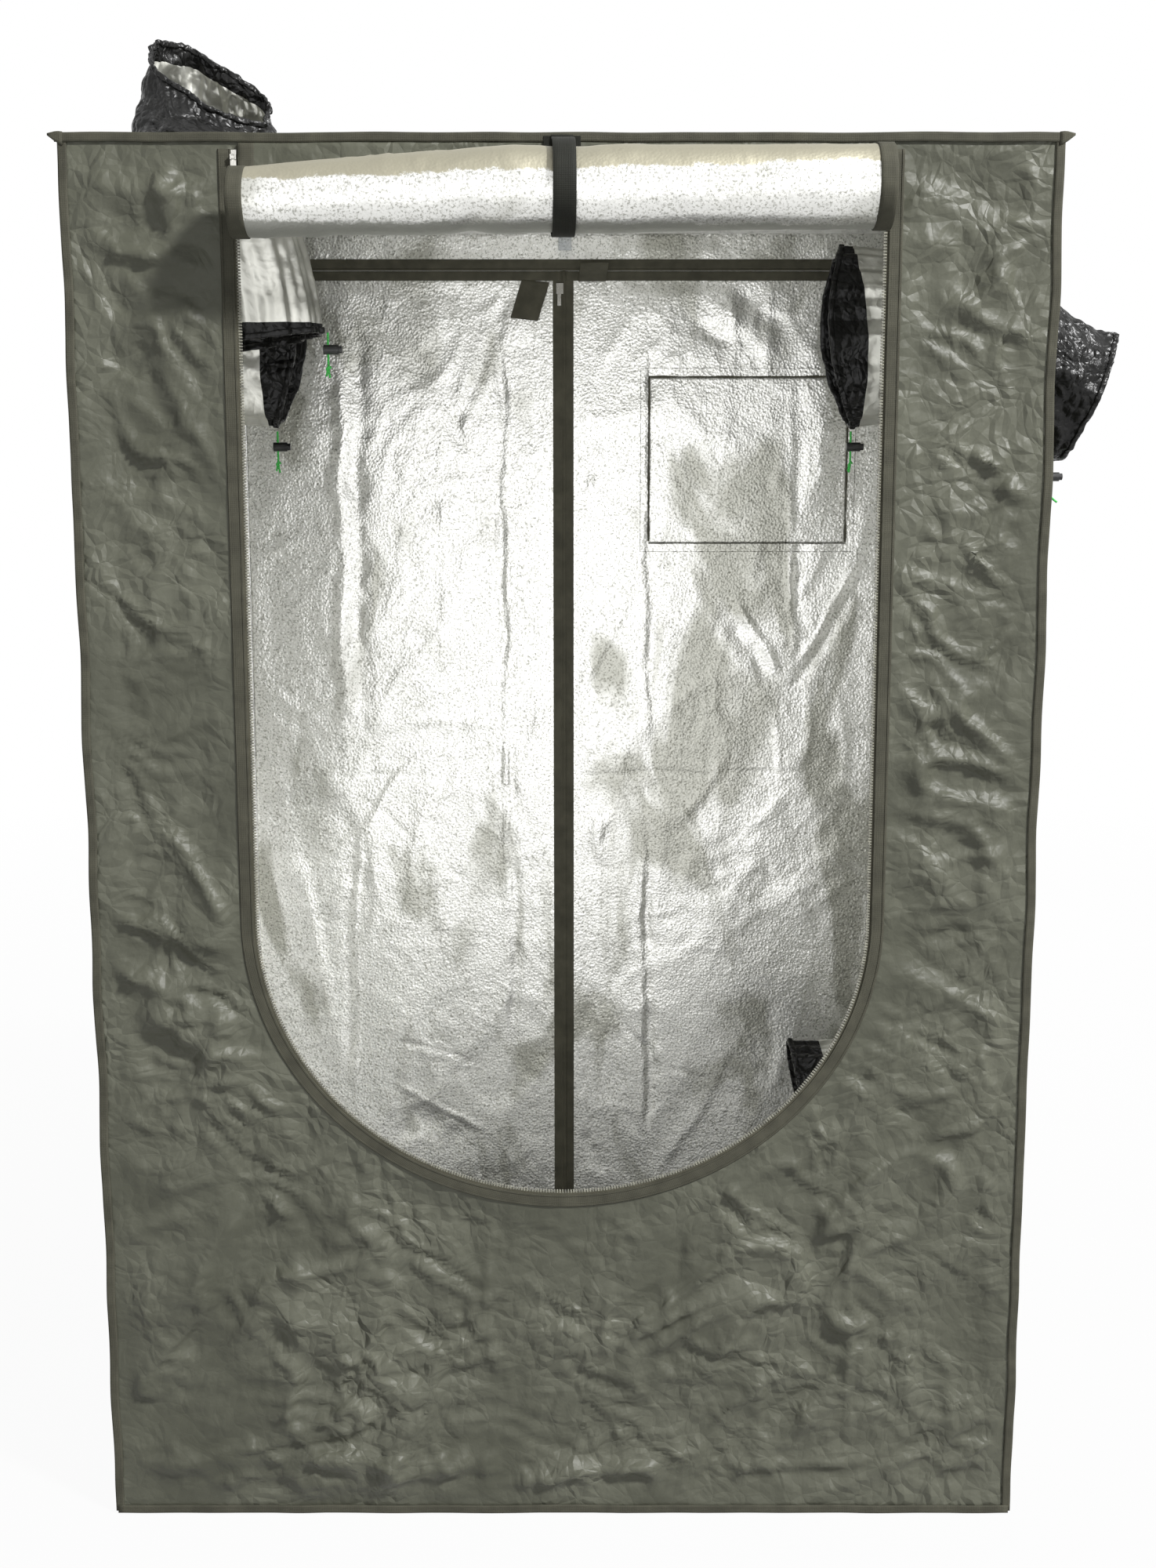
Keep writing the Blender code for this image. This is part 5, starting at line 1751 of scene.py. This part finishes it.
class TENT_OT_sleeves(bpy.types.Operator):
    """Makes the six duct sleeves with their linings, cuffs and gathered hems"""

    bl_idname = "tent.sleeves"
    bl_label = "Duct sleeves"

    def execute(self, context):
        cloth = finishes()
        lift = 0.0003
        inner_x = wall_x - cad_cloth - lift
        seats = {
            "roof_sleeve_outer": (*roof_port, roof_z + lift),
            "roof_sleeve_inner": (*roof_port, roof_z - cad_cloth - lift),
            "left_sleeve_inner": (-inner_x, *high_port),
            "right_sleeve_inner": (inner_x, *high_port),
            "right_sleeve_outer": (wall_x + lift, *high_port),
            "low_sleeve_inner": (inner_x, *low_port),
        }
        for number, (name, facts) in enumerate(sleeve_facts.items()):
            out, wide = Vector(facts["out"]), Vector(facts["wide"])
            axes = np.array((wide, out.cross(wide), out))
            seat = np.array(seats[name])
            self.tube(name, facts, seat, axes, 161.0 + 7.7 * number, cloth)
            self.flange(name, seats[name], facts["out"], cloth["trim"])
        return {"FINISHED"}

    def tube(self, name, facts, seat, axes, seed, cloth):
        """One sleeve: cloth with its lining, a black cuff and the hem that holds the drawcord."""
        count, body_rows, cuff_rows = 288, 52, 16
        reach = np.concatenate([np.linspace(0, 1, body_rows), np.linspace(1, 2, cuff_rows)[1:]])
        angles = np.linspace(0, math.tau, count, endpoint=False)
        grid_angle, grid_reach = np.meshgrid(angles, reach)
        local = sleeve_surface(facts, seed, grid_reach, grid_angle)
        points = seat + local @ axes + axes[2] * 0.0010
        rows = len(reach)
        index = np.arange(rows * count).reshape(rows, count)
        ahead = np.roll(index, -1, axis=1)
        quads = np.stack([index[:-1], ahead[:-1], ahead[1:], index[1:]], axis=-1).reshape(-1, 4)
        kinds = np.repeat(np.where(np.arange(rows - 1) < body_rows - 1, 0, 2), count)
        uvs = port_radius * np.stack([grid_angle, grid_reach], axis=-1).reshape(-1, 2)
        outside = facts["outside"]
        materials = [cloth["black" if outside else "foil"], cloth["foil"], cloth["black"]]
        thing = mesh_piece(
            name + "_cloth", points.reshape(-1, 3), quads, [*materials, cloth["black"]], uvs=uvs,
            face_materials=kinds,
        )
        outward_open(thing, seat, axes[2])
        thicken(thing, 0.0009, lining=1)
        finish_sheet(
            thing, "tent", [name],
            "black_cloth" if outside else "silver_cloth",
        )
        self.hem(name, local, seat, axes, cloth["black"])

    def flange(self, name, seat, out, material):
        """The sewn ring of tape round the port, at the foot of the sleeve."""
        out = Vector(out)
        wide = Vector((0, 0, 1)) if abs(out.z) < 0.5 else Vector((1, 0, 0))
        thin = out.cross(wide)
        count = 96
        path, sides = [], []
        for i in range(count):
            angle = math.tau * i / count
            ray = wide * math.cos(angle) + thin * math.sin(angle)
            path.append(Vector(seat) + ray * 0.1035 + out * 0.0008)
            sides.append(ray)
        ring = sweep(name + "_flange", path, sides, out, 0.0065, 0.0008, [material], closed=True)
        sew_on(ring, "tent", "dark_webbing")

    def hem(self, name, local, seat, axes, material):
        """The rolled hem at the rim that the drawcord runs in, puffed between its gathers."""
        edge, inner = (seat + row @ axes + axes[2] * 0.0010 for row in (local[-1], local[-4]))
        along = unit(edge - inner)
        round_way = unit(np.roll(edge, -1, axis=0) - np.roll(edge, 1, axis=0))
        wide = 0.0040 * (1 + 0.30 * grain(np.arange(len(edge)) / 5.0, 0.0, 3.7 + edge[0, 0]))
        ring = sweep(
            name + "_hem", edge - along * 0.0036, along, np.cross(round_way, along), wide, 0.0021,
            [material], closed=True, crown=1.3,
        )
        sew_on(ring, "tent", "black_cloth")


def outward_open(thing, seat, out):
    """Turns an open sleeve's faces away from its axis."""
    mesh = thing.data
    seat, out = Vector(seat), Vector(out)
    face = mesh.polygons[0]
    ray = face.center - seat
    ray -= out * ray.dot(out)
    if face.normal.dot(ray) < 0:
        mesh.flip_normals()
    return thing


class TENT_OT_frame(bpy.types.Operator):
    """Finishes the tubes, corners, sliders and locks, and clips the rear wall to its tube"""

    bl_idname = "tent.frame"
    bl_label = "Frame and fittings"

    def execute(self, context):
        cloth = finishes()
        kinds = {
            "lacquered_steel": cloth["steel"],
            "moulded_black": cloth["plastic"],
            "zip_metal": cloth["zinc"],
        }
        for part in frame["record"]["subparts"]:
            material = kinds.get(part["material_slot"])
            if material:
                node = frame["nodes"][part["node"]]
                node.data.materials.clear()
                node.data.materials.append(material)
        self.clip(cloth)
        return {"FINISHED"}

    def clip(self, cloth):
        """The clear clip that holds the rear wall's top to its tube, above the upright zip."""
        low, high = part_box("long_pole_rear_top")
        centre_y, centre_z = (low.y + high.y) / 2, (low.z + high.z) / 2
        radius = 0.0094
        angle = np.radians(np.linspace(-60, 240, 25))
        path = np.stack(
            [0 * angle, centre_y - radius * np.cos(angle), centre_z + radius * np.sin(angle)], axis=-1
        )
        ups = np.cross((1, 0, 0), directions(path))
        ring = sweep("clip_ring", path, (1, 0, 0), ups, 0.009, 0.0011, [cloth["clear"]])
        tab = rounded_block((0.020, 0.0030, 0.026), 0.0010, 2)
        tab.data.materials.append(cloth["clear"])
        move_mesh(tab, Matrix.Translation((0, centre_y - 0.0080, centre_z - 0.0210)))
        clip = merge("rear_tube_clip", [ring, tab])
        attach(clip, "tent")


def seen_directly(tree):
    """1 where a ray comes from the camera, a mirror-like surface or through a clear one."""
    rays = add_node(tree, "LightPath").outputs
    seen = rays["Is Camera Ray"]
    for other in ("Is Transmission Ray", "Is Glossy Ray"):
        seen = add_node(tree, "Math", {"operation": "MAXIMUM"}, i0=seen, i1=rays[other]).outputs[0]
    return seen


# Each lamp's place, the spot it faces, its width and height in metres and its watts. The camera
# sees none of them. The one inside stands for the light that falls in through the door.
lamps = {
    "key": ((5.2, -4.6, 6.9), (0, 0, 0.95), 1.0, 1.0, 1350.0),
    "fill": ((-2.8, -3.0, 1.5), (0, 0, 0.95), 1.6, 1.6, 10.0),
    "door": ((0.0, -3.6, 1.15), (0, 0, 0.95), 2.4, 2.4, 14.0),
    "inside": ((0.0, -0.27, 0.87), (0, 0.3, 0.87), 0.9, 1.66, 1.60),
    "back": ((0.6, 3.6, 1.9), (0, 0, 0.95), 2.0, 2.0, 75.0),
}


class TENT_OT_stage(bpy.types.Operator):
    """Lays the pale floor and lights the tent softly"""

    bl_idname = "tent.stage"
    bl_label = "Stage"

    def execute(self, context):
        scene = context.scene
        scene.view_settings.view_transform = "Standard"
        bpy.ops.object.select_all(action="DESELECT")
        bpy.ops.mesh.primitive_plane_add(size=60.0, location=(0, 0, -0.0006))
        floor = context.active_object
        floor.name = "stage_floor"
        bpy.ops.object.transform_apply(location=True)
        material, tree, shader = new_material("stage_floor", Roughness=0.9)
        shader.inputs["Base Color"].default_value = (0.4, 0.4, 0.4, 1)
        away = add_node(
            tree, "VectorMath", {"operation": "LENGTH"},
            i0=add_node(tree, "TexCoord").outputs["Object"],
        ).outputs["Value"]
        far = add_node(
            tree, "MapRange", Value=away, From_Min=1.0, From_Max=6.0, To_Min=0.955, To_Max=1.0
        ).outputs["Result"]
        share = add_node(
            tree, "Math", {"operation": "MULTIPLY"}, i0=seen_directly(tree), i1=far
        ).outputs[0]
        white = add_node(tree, "Emission", Strength=1.0)
        mix = add_node(tree, "MixShader", Fac=share, i1=shader.outputs[0], i2=white.outputs[0])
        tree.links.new(mix.outputs[0], tree.nodes["Material Output"].inputs["Surface"])
        floor.data.materials.append(material)
        self.world(scene)
        for name, (place, aim, wide, tall, power) in lamps.items():
            data = bpy.data.lights.new(name, "AREA")
            data.shape = "RECTANGLE"
            data.size = wide
            data.size_y = tall
            data.energy = power
            lamp = bpy.data.objects.new(name, data)
            scene.collection.objects.link(lamp)
            lamp.visible_camera = False
            lamp.location = place
            way = Vector(aim) - Vector(place)
            lamp.rotation_euler = way.to_track_quat("-Z", "Y").to_euler()
        return {"FINISHED"}

    def world(self, scene):
        """A white studio to the eye, which sheds only a little light of its own."""
        world = bpy.data.worlds.new("studio")
        scene.world = world
        world.use_nodes = True
        tree = world.node_tree
        plain = tree.nodes["Background"]
        plain.inputs["Color"].default_value = (1, 1, 1, 1)
        plain.inputs["Strength"].default_value = 0.10
        white = add_node(tree, "Background", Color=(1, 1, 1, 1), Strength=1.0)
        mix = add_node(
            tree, "MixShader", Fac=seen_directly(tree), i1=plain.outputs[0], i2=white.outputs[0]
        )
        tree.links.new(mix.outputs[0], tree.nodes["World Output"].inputs["Surface"])


class TENT_PT_panel(bpy.types.Panel):
    """Lists the tent's sizes, colours and pieces"""

    bl_label = "Grow Tent"
    bl_idname = "TENT_PT_panel"
    bl_space_type = "VIEW_3D"
    bl_region_type = "UI"
    bl_category = "Grow Tent"

    def draw(self, context):
        for group in ("tent_cloth", "tent_trim", "tent_colours"):
            props = getattr(context.scene, group)
            for key in props.__annotations__:
                self.layout.prop(props, key)
        for operator in operators:
            self.layout.operator(operator.bl_idname)


groups = {"tent_cloth": TentCloth, "tent_trim": TentTrim, "tent_colours": TentColours}
operators = (
    TENT_OT_camera,
    TENT_OT_cords,
    TENT_OT_front_wall,
    TENT_OT_shell,
    TENT_OT_rear,
    TENT_OT_bindings,
    TENT_OT_roll,
    TENT_OT_rear_zips,
    TENT_OT_sleeves,
    TENT_OT_frame,
    TENT_OT_stage,
)


def register():
    for name, group in groups.items():
        bpy.utils.register_class(group)
        setattr(bpy.types.Scene, name, PointerProperty(type=group))
    for operator in operators:
        bpy.utils.register_class(operator)
    bpy.utils.register_class(TENT_PT_panel)


def unregister():
    bpy.utils.unregister_class(TENT_PT_panel)
    for operator in reversed(operators):
        bpy.utils.unregister_class(operator)
    for name, group in groups.items():
        delattr(bpy.types.Scene, name)
        bpy.utils.unregister_class(group)


def main():
    register()
    for operator in operators:
        family, name = operator.bl_idname.split(".")
        getattr(getattr(bpy.ops, family), name)()


if __name__ == "__main__":
    main()
